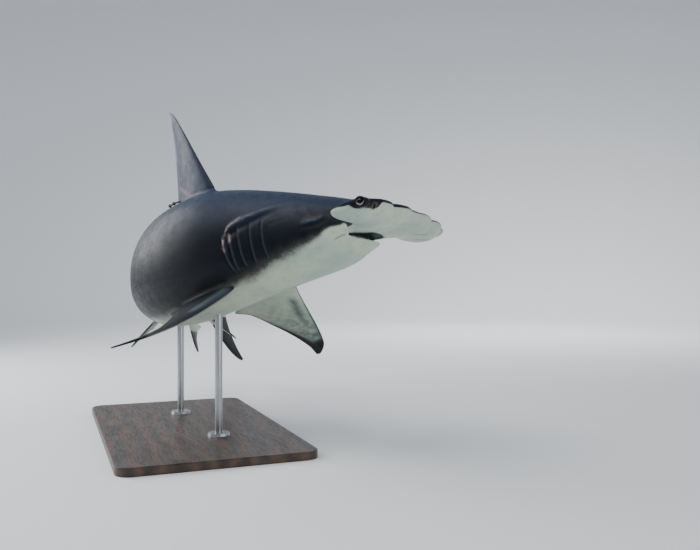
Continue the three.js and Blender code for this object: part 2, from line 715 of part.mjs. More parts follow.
// Base plate with rounded corners and a small bevel.
function baseGeometry() {
  const { length, width, height, corner, bevel } = BASE;
  const x = length / 2 - bevel;
  const y = width / 2 - bevel;
  const shape = new THREE.Shape();
  shape.moveTo(-x + corner, -y);
  shape.lineTo(x - corner, -y);
  shape.absarc(x - corner, -y + corner, corner, -Math.PI / 2, 0);
  shape.absarc(x - corner, y - corner, corner, 0, Math.PI / 2);
  shape.absarc(-x + corner, y - corner, corner, Math.PI / 2, Math.PI);
  shape.absarc(-x + corner, -y + corner, corner, Math.PI, Math.PI * 1.5);
  const geometry = new THREE.ExtrudeGeometry(shape, {
    depth: height - 2 * bevel, bevelThickness: bevel, bevelSize: bevel, bevelSegments: 2, curveSegments: 6,
  });
  geometry.translate(0, 0, bevel);
  return geometry;
}

function rodSolid(station) {
  const foot = spineAt(station);
  const rod = new THREE.CylinderGeometry(ROD_RADIUS, ROD_RADIUS, foot.z - BASE.height - GAP, 24);
  rod.rotateX(Math.PI / 2);
  rod.translate(foot.x, foot.y, (foot.z + BASE.height + GAP) / 2);
  const flange = new THREE.CylinderGeometry(FLANGE.radius - 4, FLANGE.radius, FLANGE.height, 32);
  flange.rotateX(Math.PI / 2);
  flange.translate(foot.x, foot.y, BASE.height + GAP + FLANGE.height / 2);
  return whole(solid(rod).add(solid(flange)).subtract(BODY_GROWN));
}

const group = new THREE.Group();
const shark = new THREE.Group();
const stand = new THREE.Group();
group.add(shark, stand);

function show(parent, name, geometry, material) {
  const mesh = new THREE.Mesh(geometry, material());
  mesh.name = name;
  parent.add(mesh);
  return mesh;
}

// Head: centre and wings are one solid, then parted by two thin cuts.
let headWhole = bodyLength(HEAD_START, NECK_START - HALF_GAP, 12).add(hammerSolid());
headWhole = headWhole.subtract(underMouth());
Object.values(sides).forEach((side) => {
  const { mound, lids } = socket(side);
  headWhole = headWhole.add(mound).subtract(eyeOpening(side)).add(lids);
  headWhole = headWhole.subtract(eyeSolid(side, EYE_RADIUS + GAP));
  headWhole = headWhole.subtract(nostril(side)).subtract(furrow(side));
});
const headAxes = axesAt(0);
const headOrigin = spineAt(0);
function wingCut(side, offset) {
  const normal = headAxes[1].clone().multiplyScalar(side);
  return [normal.toArray(), normal.dot(headOrigin) + WING_CUT * LENGTH + offset];
}
let headCentre = headWhole;
Object.entries(sides).forEach(([name, side]) => {
  const [normal, reach] = wingCut(side, GAP / 2);
  show(shark, `hammer_${name}`, toGeometry(whole(headWhole.trimByPlane(normal, reach))), back);
  const [, inner] = wingCut(side, -GAP / 2);
  headCentre = headCentre.trimByPlane(normal.map((n) => -n), -inner);
  show(shark, `eye_${name}`, toGeometry(eyeSolid(side, EYE_RADIUS)), eyeball);
});
headCentre = join([headCentre.subtract(palate()), ...teeth(-1)]);
show(shark, 'head', toGeometry(whole(headCentre)), back);
show(shark, 'lower_jaw', toGeometry(whole(join([jawSolid(), ...teeth(1)]))), belly);

// Body lengths, with the gill flaps joined to the neck.
LENGTHS.forEach((row) => {
  let piece = lengthSolid(row);
  if (row[0] === 'neck') {
    Object.entries(sides).forEach(([name, side]) => {
      const root = pectoralFin(name, GAP);
      GILLS.forEach((gill) => {
        piece = piece.add(gillFlap(gill, side).subtract(root));
      });
    });
  }
  show(shark, row[0], toGeometry(whole(piece)), back);
});

// Fins.
show(shark, 'dorsal_fin_first', toGeometry(medianFin(FIRST_DORSAL, 1, 20)), back);
show(shark, 'dorsal_fin_second', toGeometry(medianFin(SECOND_DORSAL, 1, 12)), back);
show(shark, 'anal_fin', toGeometry(medianFin(ANAL, -1, 12)), back);
Object.entries(sides).forEach(([name, side]) => {
  show(shark, `pectoral_fin_${name}`, toGeometry(whole(pectoralFin(name).subtract(BODY_GROWN))), back);
  const pelvic = pairedFin(PELVIC, side, PELVIC_DROP, { rows: 9 });
  show(shark, `pelvic_fin_${name}`, toGeometry(whole(pelvic.subtract(BODY_GROWN))), back);
});
show(shark, 'tail_fin_upper', toGeometry(whole(lobe(UPPER_LOBE).subtract(BODY_GROWN))), back);
const lower = lobe(LOWER_LOBE).subtract(BODY_GROWN).subtract(lobe(UPPER_LOBE, GAP));
show(shark, 'tail_fin_lower', toGeometry(whole(lower)), back);
show(shark, 'dorsal_tag', toGeometry(tagSolid()), tagging);

// Stand: the plate lies under the middle of the trunk.
Object.entries(ROD_STATIONS).forEach(([name, station]) => {
  show(stand, name, toGeometry(rodSolid(station)), steel);
});
const middle = spineAt(0.37);
const plate = show(stand, 'stand_base', baseGeometry(), plinth);
plate.position.set(middle.x, middle.y, 0);

// Origin under the middle of the whole, on the floor.
group.updateMatrixWorld(true);
const box = new THREE.Box3().setFromObject(group, true);
const centre = box.getCenter(new THREE.Vector3());
group.position.set(-centre.x, -centre.y, -box.min.z);

export default group;
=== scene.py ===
import math
import random

import bpy
import numpy as np
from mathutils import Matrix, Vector


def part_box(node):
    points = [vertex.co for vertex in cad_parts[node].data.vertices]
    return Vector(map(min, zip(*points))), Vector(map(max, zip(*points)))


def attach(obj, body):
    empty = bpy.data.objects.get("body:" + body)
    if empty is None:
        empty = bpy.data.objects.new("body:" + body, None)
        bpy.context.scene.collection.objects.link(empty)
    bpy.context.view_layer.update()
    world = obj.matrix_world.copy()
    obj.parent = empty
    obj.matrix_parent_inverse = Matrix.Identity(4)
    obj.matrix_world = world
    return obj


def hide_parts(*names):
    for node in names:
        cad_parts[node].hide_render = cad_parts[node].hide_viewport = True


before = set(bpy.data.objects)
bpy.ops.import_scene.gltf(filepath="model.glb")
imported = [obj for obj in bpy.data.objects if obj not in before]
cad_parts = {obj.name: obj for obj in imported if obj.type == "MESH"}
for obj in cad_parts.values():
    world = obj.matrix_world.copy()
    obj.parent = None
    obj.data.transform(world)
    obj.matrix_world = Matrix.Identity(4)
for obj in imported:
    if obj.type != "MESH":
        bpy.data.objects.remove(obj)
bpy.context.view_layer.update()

# The shark in metres. A station is a share of its length behind the snout. It is modelled straight,
# x forward, y left, z up, and then bent into its pose. A bend is its degrees and the stations where it
# starts and ends.
LENGTH = 3.5
SNOUT_HEIGHT = 0.985
FRONT_YAW = 48
TRUNK_BEND = (-57, 0.133, 0.493)
TAIL_BEND = (-45, 0.44, 0.94)
HEAD_TURN = (-6.2, 0.051, 0.151)
CLIMB = 10.6
TAIL_CLIMB = (-10, 0.44, 0.94)
BANK = 4
HEAD_BANK = (-9.2, 0.071, 0.151)
SPINE_STEPS = 500
PLATE_STATION = 0.37

# Body: station, half width, height over the spine, depth under it. Behind BODY_END the trunk rounds off.
BODY = [
    (0.000, 0.026, 0.010, -0.0045), (0.025, 0.028, 0.019, 0.0025), (0.0475, 0.030, 0.028, 0.0052),
    (0.058, 0.032, 0.033, 0.0080), (0.068, 0.034, 0.037, 0.0157), (0.080, 0.037, 0.042, 0.0280),
    (0.105, 0.0455, 0.051, 0.037), (0.130, 0.051, 0.059, 0.041), (0.165, 0.057, 0.070, 0.046),
    (0.215, 0.067, 0.084, 0.053), (0.260, 0.074, 0.093, 0.059), (0.340, 0.078, 0.095, 0.064),
    (0.410, 0.0735, 0.088, 0.061), (0.490, 0.060, 0.070, 0.051), (0.590, 0.041, 0.043, 0.036),
    (0.680, 0.025, 0.025, 0.023), (0.730, 0.017, 0.018, 0.017), (0.760, 0.013, 0.015, 0.014),
]
ROUNDNESS = 0.92
HEAD_RISE = [(0, 0.0085), (0.025, 0.0055), (0.05, 0.0025), (0.08, 0)]
HEAD_START = 0.006
BODY_END = 0.748
TRUNK_END = 0.785
END_ROUNDING = 0.0375

# Hammer: its margins, their heights and its swell, against the share of its half width.
HAMMER_HALF = 0.1155
HAMMER_FRONT = [
    (0, 0.0042), (0.07, 0.0035), (0.25, 0), (0.41, 0.0028), (0.49, 0.0062), (0.57, 0.0033),
    (0.74, 0.0045), (0.82, 0.0090), (0.87, 0.0112), (0.92, 0.0115), (1, 0.0195),
]
HAMMER_REAR = [
    (0, 0.1), (0.27, 0.088), (0.35, 0.0715), (0.43, 0.0620), (0.52, 0.0608), (0.68, 0.0617), (0.8, 0.0610),
    (0.93, 0.0592), (1, 0.0568),
]
HAMMER_RIM = 0.0014
HAMMER_FRONT_HEIGHT = [(0, 0.0085), (0.5, 0.0070), (1, 0.0062)]
HAMMER_REAR_HEIGHT = [(0, 0.0002), (0.35, 0.0016), (0.5, 0.0018), (0.8, 0.0015), (1, 0.0018)]
HAMMER_OVER = [(0, 0.007), (0.4, 0.0055), (0.8, 0.0048), (1, 0.0045)]
HAMMER_UNDER = [(0, 0.0090), (0.2, 0.0101), (0.5, 0.0105), (0.8, 0.0098), (1, 0.008)]

# Eye on the front corner of each wing, and the nostril inside it. Places are shares of the length, sizes are
# in metres and turns in radians.
EYE_RADIUS = 0.0195
EYE_OPENING = 0.016
EYE_STATION = 0.0210
EYE_SIDE = 0.1082
EYE_HEIGHT = 0.0052
EYE_TURN = 0.3
EYE_MOUND = 0.0055
SOCKET_GAP = 0.0004
LID_GAP = 0.0012
LID_TUBE = 0.0042
NOSTRIL = (0.0118, 0.0955, 0.0012)
NOSTRIL_SIZE = (0.026, 0.0042, 0.0105)
NOSTRIL_TURN = 0.5

# Mouth: an arch under the head, with the jaw a little open. JAW_DROP and the three last are in metres, the
# rest in shares of the length.
MOUTH_FRONT = 0.0528
MOUTH_CORNER = 0.0805
MOUTH_LEVEL = [
    (0.0528, -0.0058), (0.0545, -0.0064), (0.0572, -0.0072), (0.0625, -0.0070), (0.071, -0.0058),
    (0.0805, -0.0048), (0.105, -0.0040),
]
ARCH = [
    (0.0528, 0), (0.0532, 0.0115), (0.0545, 0.0195), (0.0572, 0.0258), (0.0625, 0.0305), (0.071, 0.0338),
    (0.0805, 0.0362),
]
JAW_DROP = 0.0205
JAW_TIP = 0.0585
JAW_DEPTH = [
    (0.0585, 0.0015), (0.0600, 0.0028), (0.063, 0.0046), (0.068, 0.0082), (0.074, 0.0152), (0.080, 0.0222),
    (0.105, 0.033),
]
JAW_END = 0.100
JAW_TROUGH = 0.015
PALATE_RISE = 0.014
LIP = 0.0015

# Gill slits: station and angle round the body from top to foot.
GILLS = [
    ((0.1738, 27), (0.1746, 8), (0.1722, -8)),
    ((0.1870, 24), (0.1871, 8), (0.1855, -12)),
    ((0.2008, 22), (0.1994, 4), (0.1966, -14)),
    ((0.2098, 17), (0.2088, 5), (0.2059, -17)),
    ((0.2172, 14), (0.2158, 4), (0.2105, -17)),
]

# Fins: root and span, outline as (share of the span, leading edge, trailing edge), and thickness by the share
# of the span. The thickness is in metres, a tail lobe's angle in degrees, the rest in shares of the length.
FINS = {
    "dorsal_fin_first": {
        "station": 0.262, "height": 0.070, "span": 0.168,
        "outline": [
            (0, -0.016, 0.114), (0.125, -0.0075, 0.116), (0.15, -0.0008, 0.130), (0.18, 0.0038, 0.138),
            (0.23, 0.008, 0.124), (0.36, 0.019, 0.112), (0.55, 0.036, 0.104), (0.7, 0.051, 0.103),
            (0.86, 0.071, 0.103), (0.94, 0.085, 0.105), (1, 0.102, 0.107),
        ],
        "thick": [(0, 0.062), (0.2, 0.046), (0.5, 0.026), (0.8, 0.013), (1, 0.005)],
    },
    "dorsal_fin_second": {
        "station": 0.618, "height": 0.020, "span": 0.066,
        "outline": [
            (0, -0.004, 0.052), (0.28, 0.004, 0.058), (0.36, 0.008, 0.092), (0.46, 0.014, 0.074),
            (0.65, 0.026, 0.062), (0.85, 0.040, 0.060), (1, 0.054, 0.062),
        ],
        "thick": [(0, 0.024), (0.4, 0.015), (1, 0.004)],
    },
    "anal_fin": {
        "station": 0.608, "height": -0.016, "span": 0.066,
        "outline": [
            (0, -0.004, 0.056), (0.24, 0.005, 0.060), (0.32, 0.009, 0.084), (0.44, 0.016, 0.066),
            (0.65, 0.030, 0.057), (0.85, 0.044, 0.062), (1, 0.058, 0.067),
        ],
        "thick": [(0, 0.024), (0.4, 0.015), (1, 0.004)],
    },
    "pectoral_fin": {
        "station": 0.212, "side": 0.034, "height": -0.0225,
        "outline": [
            (0, -0.010, 0.074), (0.14, -0.0035, 0.082), (0.22, 0.001, 0.108), (0.31, 0.0065, 0.092),
            (0.5, 0.016, 0.079), (0.7, 0.026, 0.068), (0.88, 0.038, 0.063), (0.95, 0.047, 0.0640),
            (1, 0.0575, 0.0650),
        ],
        "thick": [(0, 0.062), (0.2, 0.046), (0.5, 0.027), (0.8, 0.014), (1, 0.005)],
    },
    "pelvic_fin": {
        "station": 0.470, "side": 0.028, "height": -0.034,
        "outline": [
            (0, -0.004, 0.046), (0.25, 0.004, 0.050), (0.34, 0.008, 0.066), (0.46, 0.014, 0.054),
            (0.7, 0.027, 0.051), (0.9, 0.041, 0.056), (1, 0.051, 0.059),
        ],
        "thick": [(0, 0.030), (0.4, 0.017), (1, 0.004)],
    },
    "tail_fin_upper": {
        "station": 0.728, "height": 0.002, "angle": 36, "span": 0.272,
        "outline": [
            (0, -0.014, 0.016), (0.08, -0.016, 0.026), (0.2, -0.017, 0.036), (0.4, -0.016, 0.033),
            (0.6, -0.013, 0.026), (0.76, -0.010, 0.018), (0.8, -0.009, 0.014), (0.84, -0.008, 0.024),
            (0.9, -0.006, 0.022), (0.97, -0.003, 0.012), (1, 0, 0.004),
        ],
        "thick": [(0, 0.082), (0.08, 0.062), (0.2, 0.042), (0.5, 0.023), (0.8, 0.012), (1, 0.005)],
    },
    "tail_fin_lower": {
        "station": 0.742, "height": -0.004, "angle": -54, "span": 0.140,
        "outline": [
            (0, -0.016, 0.046), (0.15, -0.016, 0.045), (0.3, -0.012, 0.034), (0.5, -0.005, 0.028),
            (0.75, 0.005, 0.026), (0.92, 0.015, 0.027), (1, 0.022, 0.028),
        ],
        "thick": [(0, 0.040), (0.3, 0.022), (1, 0.004)],
    },
}
# How the paired fins stand: degrees below level, rise of the tip, twist in degrees, and span. They ride
# stiffly on the station that lies PAIRED_CARRIER behind the front of their root.
PECTORAL = {
    "left": {"drop": 39, "lift": 0, "twist": 10, "span": 0.177},
    "right": {"drop": 32, "lift": 0.045, "twist": 6, "span": 0.168},
}
PELVIC = {"drop": 38, "lift": 0, "twist": 0, "span": 0.066}
PAIRED_CARRIER = 0.035
SIDES = {"left": 1, "right": -1}


def follow(table, place, column=1):
    """Smooth curve through the rows of a table, whose first column is the place."""
    t = np.asarray(table, float)
    x = np.clip(np.asarray(place, float), t[0, 0], t[-1, 0])
    i = np.clip(np.searchsorted(t[:, 0], x, side="left") - 1, 0, len(t) - 2)
    before = np.maximum(np.arange(len(t)) - 1, 0)
    after = np.minimum(np.arange(len(t)) + 1, len(t) - 1)
    slope = (t[after, column] - t[before, column]) / (t[after, 0] - t[before, 0])
    width = t[i + 1, 0] - t[i, 0]
    s = (x - t[i, 0]) / width
    rise = t[i + 1, column] - t[i, column]
    a, b = slope[i] * width, slope[i + 1] * width
    return t[i, column] + s * a + s * s * (3 * rise - 2 * a - b) + s ** 3 * (a + b - 2 * rise)


def ramp(x, start, end):
    s = np.clip((np.asarray(x, float) - start) / (end - start), 0, 1)
    return s * s * (3 - 2 * s)


def axes_at(station):
    """Forward, left and up of the spine at each station."""
    s = np.asarray(station, float)
    yaw = FRONT_YAW + TRUNK_BEND[0] * ramp(s, *TRUNK_BEND[1:]) + TAIL_BEND[0] * ramp(s, *TAIL_BEND[1:])
    yaw = np.radians(yaw + HEAD_TURN[0] * (1 - ramp(s, *HEAD_TURN[1:])))
    pitch = np.radians(CLIMB + TAIL_CLIMB[0] * ramp(s, *TAIL_CLIMB[1:]))
    roll = np.radians(BANK + HEAD_BANK[0] * (1 - ramp(s, *HEAD_BANK[1:])))
    flat_left = np.stack([-np.sin(yaw), np.cos(yaw), 0 * yaw], -1)
    forward = np.stack([np.cos(yaw) * np.cos(pitch), np.sin(yaw) * np.cos(pitch), np.sin(pitch)], -1)
    above = np.cross(forward, flat_left)
    c, d = np.cos(roll)[..., None], np.sin(roll)[..., None]
    return forward, flat_left * c + above * d, above * c - flat_left * d


steps = axes_at((np.arange(SPINE_STEPS) + 0.5) / SPINE_STEPS)[0] * LENGTH / SPINE_STEPS
SPINE = np.vstack([(0, 0, SNOUT_HEIGHT), (0, 0, SNOUT_HEIGHT) - np.cumsum(steps, 0)])


def spine_at(station):
    s = np.asarray(station, float)
    inside = np.clip(s, 0, 1)
    i = np.minimum((inside * SPINE_STEPS).astype(int), SPINE_STEPS - 1)
    part = (inside * SPINE_STEPS - i)[..., None]
    return SPINE[i] + (SPINE[i + 1] - SPINE[i]) * part - ((s - inside) * LENGTH)[..., None] * axes_at(s)[0]


def bend(straight):
    """Points of the straight shark, moved to where the pose has them."""
    station = -straight[:, 0] / LENGTH
    _, left, up = axes_at(station)
    return spine_at(station) + left * straight[:, 1:2] + up * straight[:, 2:3]


def straighten(posed, station):
    """The other way round, starting the search at a station."""
    s = np.full(len(posed), float(station))
    for _ in range(40):
        ahead = ((posed - spine_at(s)) * axes_at(s)[0]).sum(1)
        s -= 0.8 * ahead / LENGTH
    _, left, up = axes_at(s)
    off = posed - spine_at(s)
    return np.stack([-s * LENGTH, (off * left).sum(1), (off * up).sum(1)], 1)


def carried(straight, station):
    """Where points that ride stiffly on one station lie on the straight shark."""
    forward, left, up = axes_at(station)
    ahead = straight[:, 0:1] + station * LENGTH
    posed = spine_at(station) + forward * ahead + left * straight[:, 1:2] + up * straight[:, 2:3]
    return straighten(posed, station)


def section(station):
    """Half width, height and depth of the body from its widest line, and how high that line lies."""
    rise = follow(HEAD_RISE, station) * LENGTH
    half, high, deep = (follow(BODY, station, column) * LENGTH for column in (1, 2, 3))
    return half, high - rise, deep + rise, rise


def body_skin(station, angle, lift=0.0):
    """Straight body: angle 0 is the left side, 90 degrees the back."""
    across, upward = np.cos(angle), np.sin(angle)
    half, high, deep, rise = section(station)
    y = (half + lift) * np.sign(across) * np.abs(across) ** ROUNDNESS
    z = rise + (np.where(upward > 0, high, deep) + lift) * np.sign(upward) * np.abs(upward) ** ROUNDNESS
    return np.stack([-station * LENGTH, y, z], -1)


def round_body(co):
    """Station of each straight point, its angle in degrees over the widest line, and metres off the body."""
    station = -co[:, 0] / LENGTH
    half, high, deep, rise = section(station)
    up = co[:, 2] - rise
    tall = np.where(up > 0, high, deep)
    across, upward = np.abs(co[:, 1]) / half, np.abs(up) / tall
    angle = np.degrees(np.arctan2(upward ** (1 / ROUNDNESS), across ** (1 / ROUNDNESS))) * np.sign(up)
    return station, angle, (np.hypot(across, upward) - 1) * np.minimum(half, tall)


def degree_size(station, angle):
    """Metres of skin to a degree round the body."""
    half, high, deep, _ = section(station)
    return np.radians(1) * (half + np.where(angle > 0, high, deep)) / 2


# Handling of objects.
def take(*objects):
    bpy.ops.object.select_all(action="DESELECT")
    for each in objects:
        each.select_set(True)
    bpy.context.view_layer.objects.active = objects[0]


def primitive(add, **settings):
    """A new primitive, added while nothing else is selected."""
    bpy.ops.object.select_all(action="DESELECT")
    add(**settings)
    return bpy.context.object


def smooth(piece):
    take(piece)
    bpy.ops.object.shade_smooth()


def places(piece):
    co = np.empty(len(piece.data.vertices) * 3)
    piece.data.vertices.foreach_get("co", co)
    return co.reshape(-1, 3)


def set_places(piece, co):
    piece.data.vertices.foreach_set("co", np.ascontiguousarray(co, float).ravel())
    piece.data.update()


def modify(piece, kind, **settings):
    take(piece)
    bpy.ops.object.modifier_add(type=kind)
    modifier = piece.modifiers[-1]
    for key, value in settings.items():
        setattr(modifier, key, value)
    bpy.ops.object.modifier_apply(modifier=modifier.name)


def combine(piece, other, operation):
    modify(piece, "BOOLEAN", operation=operation, object=other, solver="MANIFOLD")
    take(other)
    bpy.ops.object.delete()


def outward(piece):
    take(piece)
    bpy.ops.object.mode_set(mode="EDIT")
    bpy.ops.mesh.select_all(action="SELECT")
    bpy.ops.mesh.normals_make_consistent(inside=False)
    bpy.ops.object.mode_set(mode="OBJECT")


def refine(piece, chosen):
    """Cuts the chosen faces into four."""
    take(piece)
    for kind in (piece.data.vertices, piece.data.edges):
        kind.foreach_set("select", np.zeros(len(kind), bool))
    piece.data.polygons.foreach_set("select", chosen)
    bpy.ops.object.mode_set(mode="EDIT")
    bpy.ops.mesh.select_mode(type="FACE")
    bpy.ops.mesh.subdivide(number_cuts=1)
    bpy.ops.object.mode_set(mode="OBJECT")


def face_centres(piece):
    centres = np.empty(len(piece.data.polygons) * 3)
    piece.data.polygons.foreach_get("center", centres)
    return centres.reshape(-1, 3)


def surface_normals(piece):
    normals = np.empty(len(piece.data.vertices) * 3)
    piece.data.vertices.foreach_get("normal", normals)
    return normals.reshape(-1, 3)


def shell(name, segments, rings, place):
    """A ball whose every point is moved by its angle round the axis and its share from pole to pole."""
    piece = primitive(bpy.ops.mesh.primitive_uv_sphere_add, segments=segments, ring_count=rings, radius=1)
    piece.name = name
    co = places(piece)
    share = np.arccos(np.clip(co[:, 2], -1, 1)) / math.pi
    angle = np.mod(np.arctan2(co[:, 1], co[:, 0]) + 1e-9, 2 * math.pi)
    set_places(piece, place(angle, share))
    outward(piece)
    return piece


def ends(share, rings):
    """For a shell with flat ends: 1 except at the poles, and the share of the way between its end rings."""
    open_ring = (share > 0.5 / rings) & (share < 1 - 0.5 / rings)
    return open_ring[:, None].astype(float), np.clip((share * rings - 1) / (rings - 2), 0, 1)


# Smoothing of chosen points by their neighbours.
def neighbours(piece):
    edges = np.empty(len(piece.data.edges) * 2, int)
    piece.data.edges.foreach_get("vertices", edges)
    return edges.reshape(-1, 2)


def relax(co, edges, weight, rounds):
    count = len(co)
    a, b = edges[:, 0], edges[:, 1]
    degree = np.maximum(np.bincount(a, minlength=count) + np.bincount(b, minlength=count), 1)
    co = co.copy()
    for _ in range(rounds):
        for column in range(3):
            total = np.bincount(a, co[b, column], count) + np.bincount(b, co[a, column], count)
            co[:, column] += weight * (total / degree - co[:, column])
    return co


# Head and trunk.
def trunk_piece():
    rings = 260

    def place(angle, share):
        open_ring, along = ends(share, rings)
        station = HEAD_START + (TRUNK_END - HEAD_START) * along
        skin = body_skin(station, angle)
        past_end = np.maximum(station - BODY_END, 0) / END_ROUNDING
        skin[:, 1:] *= np.sqrt(np.clip(1 - past_end ** 2, 0, 1))[:, None] * open_ring
        return skin
    return shell("shark_skin", 96, rings, place)


def hammer_piece():
    """Both wings and the front of the head in one form, with its poles at the wing tips."""
    rings = 120

    def place(angle, share):
        across = np.sin(math.pi / 2 * (2 * share - 1))
        off = np.abs(across)
        blunt = 0.4 + 0.6 * np.sqrt(1 - off ** 14)
        front, rear = follow(HAMMER_FRONT, off), follow(HAMMER_REAR, off)
        t = np.where(angle <= math.pi, angle, 2 * math.pi - angle)
        sign = np.where(angle <= math.pi, 1, -1)
        c = (1 - np.cos(t)) / 2
        front_height, rear_height = follow(HAMMER_FRONT_HEIGHT, off), follow(HAMMER_REAR_HEIGHT, off)
        swell = c ** 0.6 * (1 - c) ** 0.9 / (0.4 ** 0.6 * 0.6 ** 0.9)  # 1 at two fifths of the way back
        full = np.where(sign > 0, follow(HAMMER_OVER, off), follow(HAMMER_UNDER, off)) * swell
        rim = HAMMER_RIM * np.sqrt(np.clip(np.sin(t) * 4, 0, 1))
        reach = (rear - front) / 2 * (0.3 + 0.7 * blunt)
        inside = (share > 1e-6) & (share < 1 - 1e-6)
        x = (front + rear) / 2 + reach * (2 * c - 1) * inside
        z = front_height + (rear_height - front_height) * c + sign * (full + rim) * blunt * inside
        return np.stack([-x, across * HAMMER_HALF, z], -1) * LENGTH
    return shell("hammer", 72, rings, place)


def arch_half(station):
    """Half width of the jaw at the mouth's level."""
    sine = np.clip(-follow(MOUTH_LEVEL, station) / follow(BODY, station, 3), 0, 1)
    behind = follow(BODY, station, 1) * np.sqrt(1 - sine ** (2 / ROUNDNESS)) ** ROUNDNESS
    return np.where(station < MOUTH_CORNER, follow(ARCH, station), behind)


def jaw_half(station):
    tip = np.clip((station - JAW_TIP + 0.0006) / 0.012, 0, 1)
    return arch_half(station) * np.sin(math.pi / 2 * tip) ** 0.5


def jaw_drop(station):
    open_share = np.clip((MOUTH_CORNER - station) / (MOUTH_CORNER - JAW_TIP), 0, 1)
    return JAW_DROP * (1 - (1 - open_share) ** 2)


def jaw_piece():
    rings = 60

    def place(angle, share):
        open_ring, along = ends(share, rings)
        station = JAW_TIP + (JAW_END - JAW_TIP) * along ** 1.3
        level = follow(MOUTH_LEVEL, station) * LENGTH + 0.012 * ramp(station, MOUTH_CORNER - 0.0005, JAW_END)
        depth = follow(JAW_DEPTH, station) * LENGTH
        half = jaw_half(station) * LENGTH
        drop = jaw_drop(station)
        lower = angle <= math.pi
        across = np.where(lower, np.cos(angle), 2 * (angle / math.pi - 1) - 1)
        trough = JAW_TROUGH * ramp(station, JAW_TIP + 0.003, JAW_TIP + 0.012)
        trough *= 1 - ramp(station, MOUTH_CORNER - 0.012, MOUTH_CORNER)
        dip = np.where(lower, 0, trough * (1 - np.abs(across) ** 3))
        down = np.where(lower, depth * np.sin(angle), 0)
        bottom = follow(MOUTH_LEVEL, station) * LENGTH
        z = np.where(lower, bottom - down, level - dip) - drop
        middle = bottom - drop - depth / 2
        z = np.where(open_ring[:, 0] > 0, z, middle)
        return np.stack([-station * LENGTH, half * across * open_ring[:, 0], z], -1)
    return shell("jaw", 64, rings, place)


def mouth_space():
    """All that lies under the mouth's plane inside the arch, up to its corners, and the hollow palate."""
    rings = 50
    back = MOUTH_CORNER + 0.002
    depth = 0.25

    def place(angle, share):
        open_ring, along = ends(share, rings)
        station = MOUTH_FRONT + (back - MOUTH_FRONT) * along ** 1.5
        wide = arch_half(station) * LENGTH + LIP
        level = follow(MOUTH_LEVEL, station) * LENGTH
        square = np.clip(1.6 * np.stack([np.cos(angle), np.sin(angle)]), -1, 1)
        dome = PALATE_RISE * ramp(along, 0.02, 0.2) * (1 - ramp(along, 0.75, 0.98))
        low, top = level - depth, level + dome * (1 - square[0] ** 4)
        high = np.where(square[1] > 0, top, level)
        z = low + (high - low) * (square[1] + 1) / 2
        z = np.where(open_ring[:, 0] > 0, z, level - 0.12)
        return np.stack([-station * LENGTH, wide * square[0] * open_ring[:, 0], z], -1)
    return shell("mouth_space", 48, rings, place)


def eye_centre(side):
    return np.array([-EYE_STATION, side * EYE_SIDE, EYE_HEIGHT]) * LENGTH


def nostril_centre(side):
    return np.array([-NOSTRIL[0], side * NOSTRIL[1], NOSTRIL[2]]) * LENGTH


def eye_mound(side):
    """Flesh that bulges round the eyeball, longer than it is high."""
    radius = EYE_RADIUS + EYE_MOUND
    mound = primitive(bpy.ops.mesh.primitive_uv_sphere_add, segments=32, ring_count=20, radius=radius)
    set_places(mound, places(mound) * (1.45, 0.84, 0.84) + eye_centre(side) - (0, 0, 0.0015))
    return mound


# Stretches the head against the trunk, so that one voxel size gives the head the finer skin.
VOXEL = 0.0051
ALONG = [(0, 1), (0.10, 1), (0.13, 0.5), (0.165, 0.8), (0.225, 0.8), (0.26, 0.32), (0.6, 0.32), (0.79, 0.42)]
AROUND = [
    (0, 1), (0.09, 1), (0.14, 0.65), (0.225, 0.65), (0.30, 0.38), (0.5, 0.38), (0.62, 0.52), (0.79, 0.8),
]
warp_station = np.linspace(-0.02, 0.80, 1641)
warp_middle = (warp_station[1:] + warp_station[:-1]) / 2
warp_x = np.concatenate([[0], np.cumsum(np.diff(warp_station) * follow(ALONG, warp_middle))])


def squeeze(co):
    station = -co[:, 0] / LENGTH
    thin = follow(AROUND, station)[:, None]
    return np.hstack([-np.interp(station, warp_station, warp_x)[:, None] * LENGTH, co[:, 1:] * thin])


def unsqueeze(co):
    station = np.interp(-co[:, 0] / LENGTH, warp_x, warp_station)
    thin = follow(AROUND, station)[:, None]
    return np.hstack([-station[:, None] * LENGTH, co[:, 1:] / thin])


skin = trunk_piece()
combine(skin, hammer_piece(), "UNION")
for side in SIDES.values():
    combine(skin, eye_mound(side), "UNION")
combine(skin, mouth_space(), "DIFFERENCE")
combine(skin, jaw_piece(), "UNION")
set_places(skin, squeeze(places(skin)))
modify(skin, "REMESH", mode="VOXEL", voxel_size=VOXEL, adaptivity=0)
co = unsqueeze(places(skin))

# The neck is eased into the hammer, away from the mouth.
station, angle, _ = round_body(co)
mouth_side = np.hypot(np.maximum(np.abs(co[:, 1]) / LENGTH - 0.036, 0), np.maximum(station - 0.084, 0))
free = np.maximum(ramp(mouth_side, 0.002, 0.012), ramp(co[:, 2], 0.0, 0.02))
free *= ramp(station, 0.028, 0.045) * (1 - ramp(station, 0.115, 0.135))
free *= 1 - ramp(np.abs(co[:, 1]) / LENGTH, 0.07, 0.09)
co = relax(co, neighbours(skin), 0.6 * free, 30)
set_places(skin, co)


# Finer skin where the gills are.
station, angle, _ = round_body(face_centres(skin))
refine(skin, (station > 0.163) & (station < 0.221) & (angle > -24) & (angle < 34))


